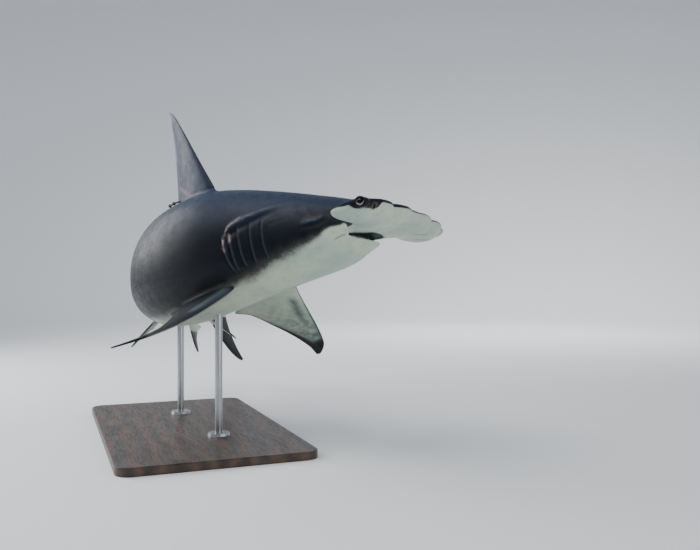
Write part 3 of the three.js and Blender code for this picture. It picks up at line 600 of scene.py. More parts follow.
# Fins.
def fin_frame(name, side=1):
    """A fin, its root and directions on the straight shark, the rise of its tip and the station it rides."""
    fin = dict(FINS[name])
    root = np.array((-fin["station"], side * fin.get("side", 0), fin["height"])) * LENGTH
    lift, carrier = np.zeros(3), None
    if "angle" in fin:
        a = math.radians(fin["angle"])
        b = a - math.copysign(math.pi / 2, a)
        spanwise, chordwise = (-math.cos(a), 0, math.sin(a)), (-math.cos(b), 0, math.sin(b))
    elif "side" in fin:
        stance = PECTORAL["left" if side > 0 else "right"] if name == "pectoral_fin" else PELVIC
        fin["span"] = stance["span"]
        drop, twist = math.radians(stance["drop"]), math.radians(stance["twist"])
        upper = np.array((0, side * math.sin(drop), math.cos(drop)))
        spanwise = (0, side * math.cos(drop), -math.sin(drop))
        chordwise = np.array((-1, 0, 0)) * math.cos(twist) - upper * math.sin(twist)
        lift = upper * stance["lift"] * LENGTH
        carrier = fin["station"] + PAIRED_CARRIER
    else:
        spanwise, chordwise = (0, 0, math.copysign(1, fin["height"])), (-1, 0, 0)
    spanwise, chordwise = np.array(spanwise, float), np.array(chordwise, float)
    normal = np.cross(spanwise, chordwise)
    return fin, root, spanwise, chordwise, normal / np.linalg.norm(normal), lift, carrier


def fin_piece(name, rows, columns, side=1):
    """Rows of sections from root to tip, blunt in front and thin behind."""
    fin, root, spanwise, chordwise, normal, lift, carrier = fin_frame(name, side)

    def place(angle, share):
        open_ring, u = ends(share, rows)
        lead, trail = follow(fin["outline"], u, 1) * LENGTH, follow(fin["outline"], u, 2) * LENGTH
        t = np.where(angle <= math.pi, angle, 2 * math.pi - angle)
        sign = np.where(angle <= math.pi, 1, -1)
        c = np.where(open_ring[:, 0] > 0, (1 - np.cos(t)) / 2, 0.4)
        half = follow(fin["thick"], u) / 2 * 2.6 * np.sqrt(c) * (1 - c) + 0.001 * np.sin(t) ** 0.5
        half *= sign * open_ring[:, 0]
        line = root + np.outer(u * fin["span"] * LENGTH, spanwise) + np.outer(u * u, lift)
        co = line + np.outer(lead + (trail - lead) * c, chordwise) + np.outer(half, normal)
        return co if carrier is None else carried(co, carrier)
    return shell(name + "_form", columns, rows, place)


def fin_shares(name, side, co):
    """Share of the span, distances behind the leading and before the trailing edge, height over its plane."""
    fin, root, spanwise, chordwise, normal, lift, carrier = fin_frame(name, side)
    if carrier is not None:
        forward, left, up = axes_at(carrier)
        off = bend(co) - spine_at(carrier)
        co = np.stack([(off * forward).sum(1) - carrier * LENGTH, (off * left).sum(1), (off * up).sum(1)], 1)
    off = co - root
    u = off @ spanwise / (fin["span"] * LENGTH)
    off = off - np.outer(np.clip(u, 0, 1) ** 2, lift)
    chord = off @ chordwise
    inside = np.clip(u, 0, 1)
    lead, trail = follow(fin["outline"], inside, 1) * LENGTH, follow(fin["outline"], inside, 2) * LENGTH
    thick = follow(fin["thick"], inside)
    near = (u > -0.05) & (u < 1.06) & (chord > lead - 0.012) & (chord < trail + 0.012)
    near &= np.abs(off @ normal) < thick * 0.75 + 0.010
    return u, chord - lead, trail - chord, off @ normal, near


# The fins are joined on, and the skin is eased round each root.
def packed(co):
    """One whole number for each point, to a micrometre, so that points can be told apart."""
    return (np.round(co * 1e6).astype(np.int64) * (1, 1 << 21, 1 << 42)).sum(1)


def ease_on(piece, other, operation, reach, weight, rounds):
    """Joins or cuts, then softens the skin round the seam."""
    known = np.concatenate([packed(places(piece)), packed(places(other))])
    combine(piece, other, operation)
    co = places(piece)
    seam = co[~np.isin(packed(co), known)]
    near = np.flatnonzero(np.all((co > seam.min(0) - reach) & (co < seam.max(0) + reach), 1))
    gap = np.full(len(co), 1.0)
    gap[near] = np.sqrt(((co[near, None] - seam[None]) ** 2).sum(2)).min(1)
    set_places(piece, relax(co, neighbours(piece), weight * (1 - ramp(gap, 0.25 * reach, reach)), rounds))


# Name, side, rows, columns, and how far and for how many rounds the skin at the root is eased.
FIN_LIST = [
    ("dorsal_fin_first", 1, 84, 40, 0.030, 30), ("dorsal_fin_second", 1, 40, 24, 0.012, 14),
    ("anal_fin", 1, 40, 24, 0.012, 14), ("tail_fin_upper", 1, 90, 28, 0.020, 20),
    ("tail_fin_lower", 1, 50, 24, 0.014, 16), ("pectoral_fin", 1, 80, 40, 0.030, 30),
    ("pectoral_fin", -1, 80, 40, 0.030, 30), ("pelvic_fin", 1, 36, 24, 0.012, 14),
    ("pelvic_fin", -1, 36, 24, 0.012, 14),
]
for name, side, rows, columns, reach, rounds in FIN_LIST:
    ease_on(skin, fin_piece(name, rows, columns, side), "UNION", reach, 0.6, rounds)


# Gill flaps, ridges and folds, pushed out of the skin or pressed into it. The lines are given by station and
# angle round the body.
GILL_RISE = 0.009
GILL_GROOVE = 0.0035
GILL_LENGTH = 0.034
SHOULDER = [(0.2140, 15), (0.2110, 21), (0.1971, 29), (0.1808, 36), (0.1644, 43), (0.1479, 49), (0.1314, 55)]
CHEEK = [(0.1290, 20), (0.1241, 21), (0.1118, 21), (0.0998, 23)]
CORNER = [(0.0794, -11), (0.0877, -12.5), (0.0941, -15.5)]


def behind_slit(slit, station, angle):
    """Distance behind a gill slit, and how much of the slit's height is there."""
    line = sorted((a, s) for s, a in slit)
    lowest, highest = line[0][0], line[-1][0]
    window = ramp(angle, lowest - 4, lowest + 5) * (1 - ramp(angle, highest - 4, highest + 4))
    return (station - follow(line, angle)) * LENGTH, window


def off_line(line, station, angle):
    """Distance above a line drawn along the body, and how far along it a point is."""
    points = sorted(line)
    above = (angle - follow(points, station)) * degree_size(station, angle)
    along = np.clip((station - points[0][0]) / (points[-1][0] - points[0][0]), -1, 2)
    return above, along


def bump(distance, width):
    return np.exp(-(distance / width) ** 2)


def relief(station, angle):
    """Height of the skin's folds at each point, and where painted shade lies in its slits and painted
    highlights on its flaps and ridges.
    """
    raised, groove, slit, lit = np.zeros((4, len(station)))
    for i, gill in enumerate(GILLS):
        d, window = behind_slit(gill, station, angle)
        flap = np.clip(1 + d / GILL_LENGTH, 0, 1) ** 1.7 * (d <= 0) + np.clip(1 - d / 0.003, 0, 1) * (d > 0)
        raised = np.maximum(raised, flap * window * (0.42 + 0.15 * i))
        groove = np.maximum(groove, bump(d - 0.005, 0.0035) * window)
        # Painted shade along each slit.
        slit = np.maximum(slit, bump(d - 0.0040, 0.0024) * window * (0.35 + 0.16 * i))
        # Painted highlight along the edge of each flap, just in front of its slit.
        lit = np.maximum(lit, bump(d + 0.0035, 0.0038) * window * (0.7 + 0.1 * i))
    height = GILL_RISE * raised - GILL_GROOVE * groove
    above, along = off_line(SHOULDER, station, angle)
    strong = ramp(along, -0.15, 0.75) * (1 - ramp(along, 0.97, 1.04))
    height += strong * (0.0060 * bump(above, 0.017) - 0.0035 * bump(above + 0.030, 0.013))
    height -= strong * 0.0016 * (bump(above + 0.052, 0.009) + bump(above + 0.074, 0.008)) * (station < 0.166)
    # Painted highlight along the top of the shoulder fold, and below along the cheek fold.
    shoulder = strong * bump(above - 0.002, 0.011)
    above, along = off_line(CHEEK, station, angle)
    strong = ramp(along, -0.1, 0.3) * (1 - ramp(along, 0.7, 1.15))
    height += strong * (0.0036 * bump(above, 0.012) - 0.0016 * bump(above + 0.019, 0.011))
    shoulder = np.maximum(shoulder, strong * bump(above, 0.007))
    above, along = off_line(CORNER, station, angle)
    strong = ramp(along, -0.15, 0.05) * (1 - ramp(along, 0.7, 1.1))
    height -= strong * 0.003 * bump(above, 0.004)
    # Painted shade along the furrow behind the mouth's corner.
    slit = np.maximum(slit, strong * bump(above, 0.0035) * 0.8)
    return height, slit, lit, shoulder


co = places(skin)
station, angle, out = round_body(co)
height = relief(station, angle)[0] * (1 - ramp(out, 0.010, 0.022)) * ramp(station, 0.070, 0.078)
set_places(skin, co + surface_normals(skin) * height[:, None])


# Sockets, lids and nostrils.
def eye_out(side):
    return np.array([math.sin(EYE_TURN), side * math.cos(EYE_TURN), 0])


def eye_along(side):
    """Level direction across the eye's axis."""
    out = eye_out(side)
    return np.array([out[1], -out[0], 0])


def set_on_eye(piece, side, co, along):
    """Lays a form on the eye, with its x along the head, its y upwards and its z outwards."""
    over, outer = np.outer(co[:, 1], (0, 0, 1)), np.outer(co[:, 2], eye_out(side))
    set_places(piece, eye_centre(side) + np.outer(co[:, 0], along) + over + outer)
    outward(piece)


def socket_ball(side):
    radius = EYE_RADIUS + SOCKET_GAP
    ball = primitive(bpy.ops.mesh.primitive_uv_sphere_add, segments=40, ring_count=24, radius=radius)
    set_places(ball, places(ball) + eye_centre(side))
    return ball


def eye_opening(side):
    """Tube that opens the socket, wider outwards."""
    depth = 0.06
    tube = primitive(
        bpy.ops.mesh.primitive_cylinder_add,
        vertices=40, radius=EYE_OPENING, depth=depth, end_fill_type="TRIFAN",
    )
    co = places(tube)
    co[:, 2] += depth / 2
    co[:, :2] *= (1 + 0.5 * (co[:, 2] / depth))[:, None]
    set_on_eye(tube, side, co, eye_along(side))
    return tube


def lid_ring(side):
    """Two lids in one ring, the lower one fuller, meeting in a corner."""
    ring = primitive(
        bpy.ops.mesh.primitive_torus_add,
        major_segments=48, minor_segments=12, major_radius=EYE_OPENING + LID_GAP, minor_radius=LID_TUBE,
    )
    co = places(ring)
    around = np.arctan2(co[:, 1], co[:, 0])
    co[:, :2] *= (1 + 0.10 * np.cos(around) ** 8 * (np.cos(around) < 0))[:, None]
    co[:, 2] *= 0.9 + 0.25 * np.clip(-np.sin(around), 0, 1)
    co[:, 2] += math.sqrt(EYE_RADIUS ** 2 - EYE_OPENING ** 2) - 0.001
    set_on_eye(ring, side, co, eye_along(side) * side)
    return ring


def turned(x, y, angle):
    """Turned about the upright line through the origin."""
    return x * math.cos(angle) - y * math.sin(angle), x * math.sin(angle) + y * math.cos(angle)


def nostril_slit(side):
    """A flat, slightly curved form that cuts the nostril."""
    slit = primitive(bpy.ops.mesh.primitive_uv_sphere_add, segments=32, ring_count=16, radius=1)
    co = places(slit) * NOSTRIL_SIZE
    co[:, 1] += 0.004 * (co[:, 0] / NOSTRIL_SIZE[0]) ** 2
    x, y = turned(co[:, 0], co[:, 1], side * NOSTRIL_TURN)
    set_places(slit, np.stack([x, y, co[:, 2]], 1) + nostril_centre(side))
    return slit


# Finer skin round the eyes, the nostrils and the corners of the mouth.
FINE_ROUND_EYE = 0.045
FINE_ROUND_NOSTRIL = 0.034
centres = face_centres(skin)
station, angle, out = round_body(centres)
fine = (station > 0.074) & (station < 0.098) & (angle > -22) & (angle < -4) & (out > -0.004)
for side in SIDES.values():
    fine |= np.linalg.norm(centres - eye_centre(side), axis=1) < FINE_ROUND_EYE
    fine |= np.linalg.norm(centres - nostril_centre(side), axis=1) < FINE_ROUND_NOSTRIL
refine(skin, fine)

# It is eased round the eyes, and then the openings are cut.
co = places(skin)
near_eye = np.zeros(len(co))
for side in SIDES.values():
    near_eye = np.maximum(near_eye, 1 - ramp(np.linalg.norm(co - eye_centre(side), axis=1), 0.030, 0.048))
set_places(skin, relax(co, neighbours(skin), 0.6 * near_eye, 12))
for side in SIDES.values():
    combine(skin, eye_opening(side), "DIFFERENCE")
    ease_on(skin, lid_ring(side), "UNION", 0.006, 0.4, 4)
    combine(skin, socket_ball(side), "DIFFERENCE")
    ease_on(skin, nostril_slit(side), "DIFFERENCE", 0.004, 0.4, 3)


# Markings, painted shade and painted highlights, as smooth measures over the straight shark that the material
# turns into colour.
BORDER = [
    (0.0424, -4), (0.0560, -3), (0.0700, 4), (0.0784, 10), (0.0840, 8), (0.0923, 8), (0.1009, 6),
    (0.1074, 2), (0.1174, 0), (0.1276, -3), (0.1377, -5), (0.1480, -8), (0.1584, -12), (0.1687, -16),
    (0.1792, -20), (0.1878, -25), (0.2021, -30), (0.235, -37), (0.26, -42), (0.34, -48),
    (0.45, -44), (0.60, -34), (0.70, -24),
]
BORDER_SOFT = [
    (0.04, 0.004), (0.08, 0.006), (0.10, 0.013), (0.12, 0.026), (0.15, 0.052), (0.19, 0.064), (0.26, 0.075),
    (0.5, 0.055), (0.7, 0.02),
]
SCARS = [
    ([(0.1975, 32), (0.2015, 29), (0.2072, 26), (0.2122, 21)], 0.0050, 0.42),
    ([(0.2098, 16), (0.2092, 12)], 0.0055, 0.9),
    ([(0.2160, 12), (0.2172, 8), (0.2160, 5)], 0.0048, 0.85),
]
SMUDGE = [(0.2235, 0.0700), (0.2330, 0.0880), (0.2405, 0.1020)]
CREASE = [(0.0375, -0.0180), (0.0271, -0.0185), (0.0100, -0.0252)]
WING_SMUDGES = [[(0.0262, 0.0420), (0.0186, 0.0640)], [(0.0340, 0.0700), (0.0250, 0.0930)]]
DORSAL_SCAR = [(0.3137, 0.1017), (0.3293, 0.1117), (0.3516, 0.1238)]

# Metres that a degree round the body counts for, in the scars and in the grain of the hide.
SCAR_DEGREE = 0.0042
GRAIN_DEGREE = 0.0045


def near_line(line, points):
    """Distance from each point to a line drawn through a few others."""
    chain = np.array(line, float)
    best = np.full(len(points), 1e9)
    for a, b in zip(chain[:-1], chain[1:]):
        run = b - a
        t = np.clip(((points - a) @ run) / (run @ run), 0, 1)
        best = np.minimum(best, np.linalg.norm(points - a - np.outer(t, run), axis=1))
    return best


def near_mark(mark, station, share):
    """Metres to a mark given by station and by share of the length across or up."""
    return near_line(np.array(mark) * LENGTH, np.stack([station, share], 1) * LENGTH)


def wing_share(co, station):
    """1 on the hammer's wings and front, 0 on the body."""
    aside = ramp(np.abs(co[:, 1]) / section(station)[0], 0.95, 1.15)
    return np.maximum(aside, 1 - ramp(station, 0.036, 0.050)) * (1 - ramp(station, 0.098, 0.106))


def wing_field(co):
    """Metres that a point of the hammer lies inside its pale underside."""
    station = -co[:, 0] / LENGTH
    off = np.minimum(np.abs(co[:, 1]) / LENGTH / HAMMER_HALF, 1)
    front, rear = follow(HAMMER_FRONT, off), follow(HAMMER_REAR, off)
    c = np.clip((station - front) / (rear - front), 0, 1)
    edge = follow(HAMMER_FRONT_HEIGHT, off) * (1 - c) + follow(HAMMER_REAR_HEIGHT, off) * c
    at_eye = near_line([(0.022, 0.1145), (0.0115, 0.0955)], np.stack([station, np.abs(co[:, 1]) / LENGTH], 1))
    right = ramp(-co[:, 1] / LENGTH, -0.02, 0.05)
    edge += 0.0008 - 0.0018 * right - (0.0010 + 0.0045 * right) * (1 - ramp(at_eye, 0.003, 0.011))
    edge += 0.0018 * ramp(station, 0.034, 0.046) * ramp(off, 0.8, 0.95)
    return edge * LENGTH - co[:, 2]


def add_measure(piece, name, values):
    attribute = piece.data.attributes.new(name, "FLOAT", "POINT")
    attribute.data.foreach_set("value", np.ascontiguousarray(values, np.float32))


def fin_field(name, side, u, from_lead, from_trail, above):
    """Metres that a point of a fin lies inside its pale side."""
    if name in ("pectoral_fin", "pelvic_fin"):
        under = -above * side * 1.2
        edge = np.minimum(from_lead - 0.001, from_trail - 0.006 - 0.035 * ramp(u, 0.35, 0.95))
        return np.minimum(under, np.minimum(edge, (0.84 - u) * 0.30))
    if name == "anal_fin":
        return np.minimum(0.012 - 0.05 * ramp(u, 0.35, 0.8), 0.02)
    return np.full(len(u), -0.06)


def painted_fin_light(u, from_lead, from_trail):
    """Painted light on the first dorsal fin, brighter towards its trailing edge and its tip."""
    chord = from_lead / np.maximum(from_lead + from_trail, 0.01)
    return ramp(chord, 0.58, 1.0) * (0.14 + 0.86 * ramp(u, 0.42, 0.78)) + 0.75 * ramp(u, 0.84, 1.0)


def scratches(co, station, angle, on_body):
    """Pale scars among the gills and on the first dorsal fin, on the right side."""
    right = co[:, 1] < 0
    scar = np.zeros(len(co))
    points = np.stack([station * LENGTH, angle * SCAR_DEGREE], 1)
    for line, width, strength in SCARS:
        away = near_line(np.array(line) * (LENGTH, SCAR_DEGREE), points)
        scar = np.maximum(scar, strength * bump(away, width) * on_body * right)
    away = near_mark(DORSAL_SCAR, station, co[:, 2] / LENGTH)
    return np.maximum(scar, 0.5 * bump(away, 0.007) * (co[:, 2] > 0.09 * LENGTH) * right)


def smudges(co, station, facing, reach):
    """Dusky blotches on the inner part of the pectoral fins and under the wings."""
    away = near_mark(SMUDGE, station, np.abs(co[:, 1]) / LENGTH)
    smudge = 0.8 * bump(away, 0.024) * (reach > 0.05) * (co[:, 2] < 0)
    for line in WING_SMUDGES:
        away = near_mark(line, station, co[:, 1] / LENGTH)
        smudge = np.maximum(smudge, 0.45 * bump(away, 0.006) * (facing[:, 2] < 0))
    return smudge


def mouth_shade(co, station, facing):
    """1 on the hollow between the jaws, inside the lips, where painted shade darkens the mouth."""
    level = follow(MOUTH_LEVEL, station) * LENGTH
    in_arch = np.abs(co[:, 1]) < follow(ARCH, station) * LENGTH - 0.003
    gape = (station > MOUTH_FRONT) & (station < MOUTH_CORNER) & in_arch
    gape &= (co[:, 2] > level - jaw_drop(station) - 0.018) & (co[:, 2] < level + 0.024)
    lips = np.abs(co[:, 1]) > jaw_half(np.maximum(station, JAW_TIP)) * LENGTH - 0.0065
    floor = (facing[:, 2] > -0.2) & ~lips & (station > JAW_TIP + 0.002)
    return (gape & ((co[:, 2] > level - 0.002) | floor)).astype(float)


def round_eyes(co):
    """Painted shade: 1 in the sockets and close round them, weaker on the left."""
    socket = np.zeros(len(co))
    for side in SIDES.values():
        away = co - eye_centre(side)
        distance = np.linalg.norm(away / (1.25, 1, 1), axis=1)
        near_ball = 1 - ramp(distance, EYE_RADIUS + 0.002, EYE_RADIUS + 0.010)
        turned_out = ramp(away @ eye_out(side), 0.002, 0.010)
        socket = np.maximum(socket, near_ball * turned_out * (1 if side < 0 else 0.6))
    return socket


# Where the painted highlight round each nostril lies.
def round_nostrils(co):
    nose = np.zeros(len(co))
    for side in SIDES.values():
        away = (co - nostril_centre(side)) / (1.6, 1, 1)
        nose = np.maximum(nose, 1 - ramp(np.linalg.norm(away, axis=1), 0.009, 0.018))
    return nose


def skin_measures(piece):
    """All that the material of the hide reads, for every point of the straight shark."""
    co, facing = places(piece), surface_normals(piece)
    station, angle, out = round_body(co)
    on_wing = wing_share(co, station)
    pale = (follow(BORDER, station) - angle) * degree_size(station, angle)
    pale = pale * (1 - on_wing) + wing_field(co) * on_wing
    soft = follow(BORDER_SOFT, station) * (1 - on_wing) + 0.0035 * on_wing
    lead, reach, glow = np.ones(len(co)), np.zeros(len(co)), np.zeros(len(co))
    for name, side, *_ in FIN_LIST:
        u, from_lead, from_trail, above, near = fin_shares(name, side, co)
        part = near * ramp(out, 0.002, 0.028)
        pale = pale * (1 - part) + fin_field(name, side, u, from_lead, from_trail, above) * part
        soft = soft * (1 - part) + (0.005 + 0.012 * ramp(u, 0.3, 0.8)) * part
        lead = np.where(part > 0.5, from_lead, lead)
        reach = np.maximum(reach, np.clip(u, 0, 1) * part)
        if name == "dorsal_fin_first":
            glow = part * painted_fin_light(u, from_lead, from_trail)
    _, slit, lit, ridge = relief(station, angle)
    on_body = (1 - ramp(out, 0.014, 0.026)) * (station > 0.074)
    # Painted shade along a crease under the front of the head, on the right.
    crease = 0.34 * bump(near_mark(CREASE, station, co[:, 1] / LENGTH), 0.0022)
    crease *= (facing[:, 2] < 0) * ramp(station, 0.012, 0.036) * (station < 0.045)
    # The hide is lighter up the back, partly its own tone and partly painted light from above; on the wings
    # this is painted light where the skin faces up.
    top = ramp(angle, 8, 72) * (1 - on_wing) + 0.62 * ramp(facing[:, 2], -0.1, 0.6) * on_wing
    return {
        "pale": pale / soft, "slit": np.maximum(slit * on_body, crease), "lit": lit * on_body,
        "ridge": ridge * on_body, "scar": scratches(co, station, angle, on_body),
        "mouth": mouth_shade(co, station, facing), "socket": round_eyes(co), "nose": round_nostrils(co),
        "lead": lead, "reach": reach, "glow": glow, "smudge": smudges(co, station, facing, reach),
        "station": station, "angle": angle, "top": top,
    }


for name, values in skin_measures(skin).items():
    add_measure(skin, name, values)

# Bent into the pose, over the middle of the plate.
plate_low, plate_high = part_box("stand_base")
SHIFT = np.array([(plate_low.x + plate_high.x) / 2, (plate_low.y + plate_high.y) / 2, 0])
SHIFT[:2] -= spine_at(PLATE_STATION)[:2]
set_places(skin, bend(places(skin)) + SHIFT)
smooth(skin)

flesh = [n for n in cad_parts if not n.startswith(("stand", "eye", "dorsal_tag"))]
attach(skin, "root")
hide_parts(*flesh)

# Camera, fitted to the photo while the snout is over the origin.
CAMERA_PLACE = Vector((2.7005, -1.3898, 0.7624))
CAMERA_YAW = 158
CAMERA_FOCUS_PIXELS = 761
PHOTO_WIDTH = 700
SENSOR_WIDTH = 36
bpy.ops.object.camera_add(
    location=CAMERA_PLACE + Vector(SHIFT), rotation=(math.radians(90), 0, math.radians(CAMERA_YAW - 90)),
)
camera = bpy.context.object
camera.data.sensor_width = SENSOR_WIDTH
camera.data.lens = CAMERA_FOCUS_PIXELS / PHOTO_WIDTH * SENSOR_WIDTH
camera.data.clip_end = 100
bpy.context.scene.camera = camera


# Parts that the materials are built from.
def material(name):
    made = bpy.data.materials.new(name)
    made.use_nodes = True
    return made, made.node_tree, made.node_tree.nodes["Principled BSDF"]


def ink(*channels):
    """A colour as painters read it, 0 to 255, in the light that the shader wants."""
    shares = [channel / 255 for channel in channels]
    return tuple(c / 12.92 if c <= 0.04045 else ((c + 0.055) / 1.055) ** 2.4 for c in shares) + (1,)


def put(tree, value, socket):
    if isinstance(value, bpy.types.NodeSocket):
        tree.links.new(value, socket)
    else:
        socket.default_value = value


def calc(tree, operation, *values, clamp=False):
    step = tree.nodes.new("ShaderNodeMath")
    step.operation, step.use_clamp = operation, clamp
    for value, socket in zip(values, step.inputs):
        put(tree, value, socket)
    return step.outputs[0]


def times(tree, first, second, clamp=False):
    return calc(tree, "MULTIPLY", first, second, clamp=clamp)


def plus(tree, first, second):
    return calc(tree, "ADD", first, second)


def swing(tree, field, amount):
    """A cloud as ups and downs about nothing."""
    return times(tree, calc(tree, "SUBTRACT", field, 0.5), amount)


def between(tree, value, low, high, to_low=0.0, to_high=1.0):
    step = tree.nodes.new("ShaderNodeMapRange")
    step.interpolation_type = "SMOOTHSTEP"
    for socket, number in zip(step.inputs, (value, low, high, to_low, to_high)):
        put(tree, number, socket)
    return step.outputs[0]


def blend(tree, share, first, second):
    step = tree.nodes.new("ShaderNodeMix")
    step.data_type = "RGBA"
    put(tree, share, step.inputs[0])
    put(tree, first, step.inputs[6])
    put(tree, second, step.inputs[7])
    return step.outputs[2]


def cloud(tree, place, scale, detail=3.0, roughness=0.55, stretch=None):
    if stretch:
        stretched = tree.nodes.new("ShaderNodeMapping")
        put(tree, place, stretched.inputs["Vector"])
        stretched.inputs["Scale"].default_value = stretch
        place = stretched.outputs[0]
    step = tree.nodes.new("ShaderNodeTexNoise")
    put(tree, place, step.inputs["Vector"])
    step.inputs["Scale"].default_value = scale
    step.inputs["Detail"].default_value = detail
    step.inputs["Roughness"].default_value = roughness
    return step.outputs["Fac"]


def measure(tree, name):
    step = tree.nodes.new("ShaderNodeAttribute")
    step.attribute_name = name
    return step.outputs["Fac"]


def marked(tree, colour, name, amount, shade, clamp=False):
    """Lays a shade over the colour as far as a measure of the skin says."""
    return blend(tree, times(tree, measure(tree, name), amount, clamp), colour, shade)


def object_place(tree):
    return tree.nodes.new("ShaderNodeTexCoord").outputs["Object"]


def raise_bump(tree, shader, height, strength, distance):
    step = tree.nodes.new("ShaderNodeBump")
    step.inputs["Strength"].default_value = strength
    step.inputs["Distance"].default_value = distance
    put(tree, height, step.inputs["Height"])
    tree.links.new(step.outputs[0], shader.inputs["Normal"])


def shark_hide():
    """Dark back, pale belly, a ragged border between them, and then the marks, the painted highlights and the
    painted shade on top.
    """
    made, tree, shader = material("shark_hide")
    place = object_place(tree)
    drift, patch = cloud(tree, place, 5, 3), cloud(tree, place, 26, 5, 0.6)
    speckle, grain = cloud(tree, place, 150, 4, 0.6), cloud(tree, place, 850, 2)
    lay = tree.nodes.new("ShaderNodeCombineXYZ")
    put(tree, times(tree, measure(tree, "station"), LENGTH), lay.inputs[0])
    put(tree, times(tree, measure(tree, "angle"), GRAIN_DEGREE), lay.inputs[1])
    streak = cloud(tree, lay.outputs[0], 9, 4, 0.6, (0.35, 4.0, 1))
    hair = cloud(tree, lay.outputs[0], 40, 3, 0.6, (0.3, 5.0, 1))

    edge = measure(tree, "pale")
    for field, amount in ((patch, 0.8), (speckle, 0.5), (drift, 0.8), (hair, 0.18)):
        edge = plus(tree, edge, swing(tree, field, amount))
    turn = between(tree, edge, -1.25, 1.25)

    # Lighter towards the top: partly the hide's own tone, partly painted light from above.
    lift = measure(tree, "top")
    dark = blend(tree, lift, ink(4, 9, 17), ink(35, 48, 70))
    dark = blend(tree, between(tree, streak, 0.35, 0.7, 0, 0.07), dark, ink(42, 56, 78))
    dark = blend(tree, between(tree, patch, 0.45, 0.75, 0, 0.30), dark, ink(12, 17, 26))
    # Painted shade low on the sides of the head and neck, fading out behind the gills.
    cheek_shade = between(tree, measure(tree, "station"), 0.10, 0.19, 0.62, 0)
    cheek_shade = times(tree, cheek_shade, between(tree, lift, 0.15, 0.6, 1, 0))
    dark = blend(tree, cheek_shade, dark, ink(5, 11, 20))
    light = blend(tree, between(tree, drift, 0.35, 0.68), ink(168, 187, 174), ink(196, 208, 184))
    light = blend(tree, between(tree, patch, 0.48, 0.78, 0, 0.40), light, ink(140, 160, 158))
    light = blend(tree, between(tree, speckle, 0.55, 0.80, 0, 0.22), light, ink(126, 140, 140))
    tipward = between(tree, measure(tree, "reach"), 0.12, 0.85)
    dusk = times(tree, tipward, between(tree, patch, 0.36, 0.62, 0.15, 0.85))
    light = blend(tree, dusk, light, ink(84, 100, 104))
    colour = blend(tree, between(tree, turn, 0.0, 0.55), dark, ink(60, 60, 58))
    colour = blend(tree, between(tree, turn, 0.35, 1.0), colour, light)

    # Painted light on the rear and tip of the first dorsal fin.
    colour = marked(tree, colour, "glow", 0.9, ink(162, 180, 206), clamp=True)
    # Painted highlight along the shoulder and cheek folds, patchy with the clouds.
    ridge_highlight = between(tree, plus(tree, patch, streak), 0.8, 1.25, 0.05, 0.5)
    colour = marked(tree, colour, "ridge", ridge_highlight, ink(104, 112, 128))
    # Painted highlights along the edges of the gill flaps.
    colour = marked(tree, colour, "lit", 0.26, ink(92, 102, 114))
    # Painted shade in the gill slits, in the furrow behind the mouth's corner and in the crease under the
    # head.
    colour = marked(tree, colour, "slit", 0.7, ink(12, 17, 24))
    colour = blend(tree, measure(tree, "smudge"), colour, ink(76, 88, 94))
    front = times(tree, between(tree, measure(tree, "lead"), 0.0, 0.045, 1, 0), 0.75)
    front = times(tree, front, between(tree, turn, 0.1, 0.9, 1, 0))
    colour = blend(tree, front, colour, ink(10, 20, 34))
    torn = between(tree, plus(tree, speckle, patch), 0.78, 1.12)
    colour = marked(tree, colour, "scar", torn, ink(196, 160, 164), clamp=True)
    # Painted shade in the eye sockets.
    colour = blend(tree, measure(tree, "socket"), colour, ink(16, 22, 34))
    # Painted highlight round the nostrils, light brown.
    colour = marked(tree, colour, "nose", 0.75, ink(88, 78, 68))
    # Painted shade in the hollow of the mouth.
    colour = marked(tree, colour, "mouth", 0.97, ink(44, 66, 74))
    put(tree, colour, shader.inputs["Base Color"])

    rough = between(tree, plus(tree, patch, speckle), 0.7, 1.3, 0.36, 0.56)
    put(tree, rough, shader.inputs["Roughness"])
    shader.inputs["Specular IOR Level"].default_value = 0.20
    height = plus(tree, times(tree, speckle, 0.5), times(tree, grain, 0.35))
    height = plus(tree, height, times(tree, hair, 0.12))
    raise_bump(tree, shader, height, 0.35, 0.0015)
    return made


def finish_with(piece, made):
    piece.data.materials.clear()
    piece.data.materials.append(made)


finish_with(skin, shark_hide())


# Eyes: a ball with a domed front, a large pupil and a pale ring that shows under it. The pupil's middle lies
# above the ball's, and its foot is drawn out a little.
CORNEA_RISE = 0.0016
PUPIL_RAISED = 0.0045
PUPIL_EDGE = (0.0128, 0.0142)
RING_EDGE = (0.0165, 0.0180)


def from_pupil(ball_co, side):
    """Metres from the line through the pupil's middle, with the ball's rear half counted as far off."""
    out = eye_out(side)
    flat = ball_co - np.outer(ball_co @ out, out) - (0, 0, PUPIL_RAISED)
    off = np.where(ball_co @ out > 0, np.linalg.norm(flat, axis=1), 0.05)
    below, aside = -flat[:, 2] / 0.018, np.abs(flat @ eye_along(side)) / 0.008
    foot = 0.10 * np.clip(below, 0, 1) * (1 - np.clip(aside, 0, 1))
    return off * (1 - foot)


def wet_eye(name):
    made, tree, shader = material(name)
    fleck = cloud(tree, object_place(tree), 420, 3, 0.6)
    away = plus(tree, measure(tree, "off"), swing(tree, fleck, 0.0009))
    ring = blend(tree, between(tree, fleck, 0.35, 0.7), ink(138, 134, 124), ink(196, 188, 170))
    colour = blend(tree, between(tree, away, *PUPIL_EDGE), ink(3, 5, 9), ring)
    colour = blend(tree, between(tree, away, *RING_EDGE), colour, ink(14, 18, 24))
    put(tree, colour, shader.inputs["Base Color"])
    put(tree, between(tree, away, PUPIL_EDGE[0], 0.0150, 0.16, 0.30), shader.inputs["Roughness"])
    shader.inputs["Specular IOR Level"].default_value = 0.20
    shader.inputs["Coat Weight"].default_value = 0.08
    shader.inputs["Coat Roughness"].default_value = 0.04
    return made


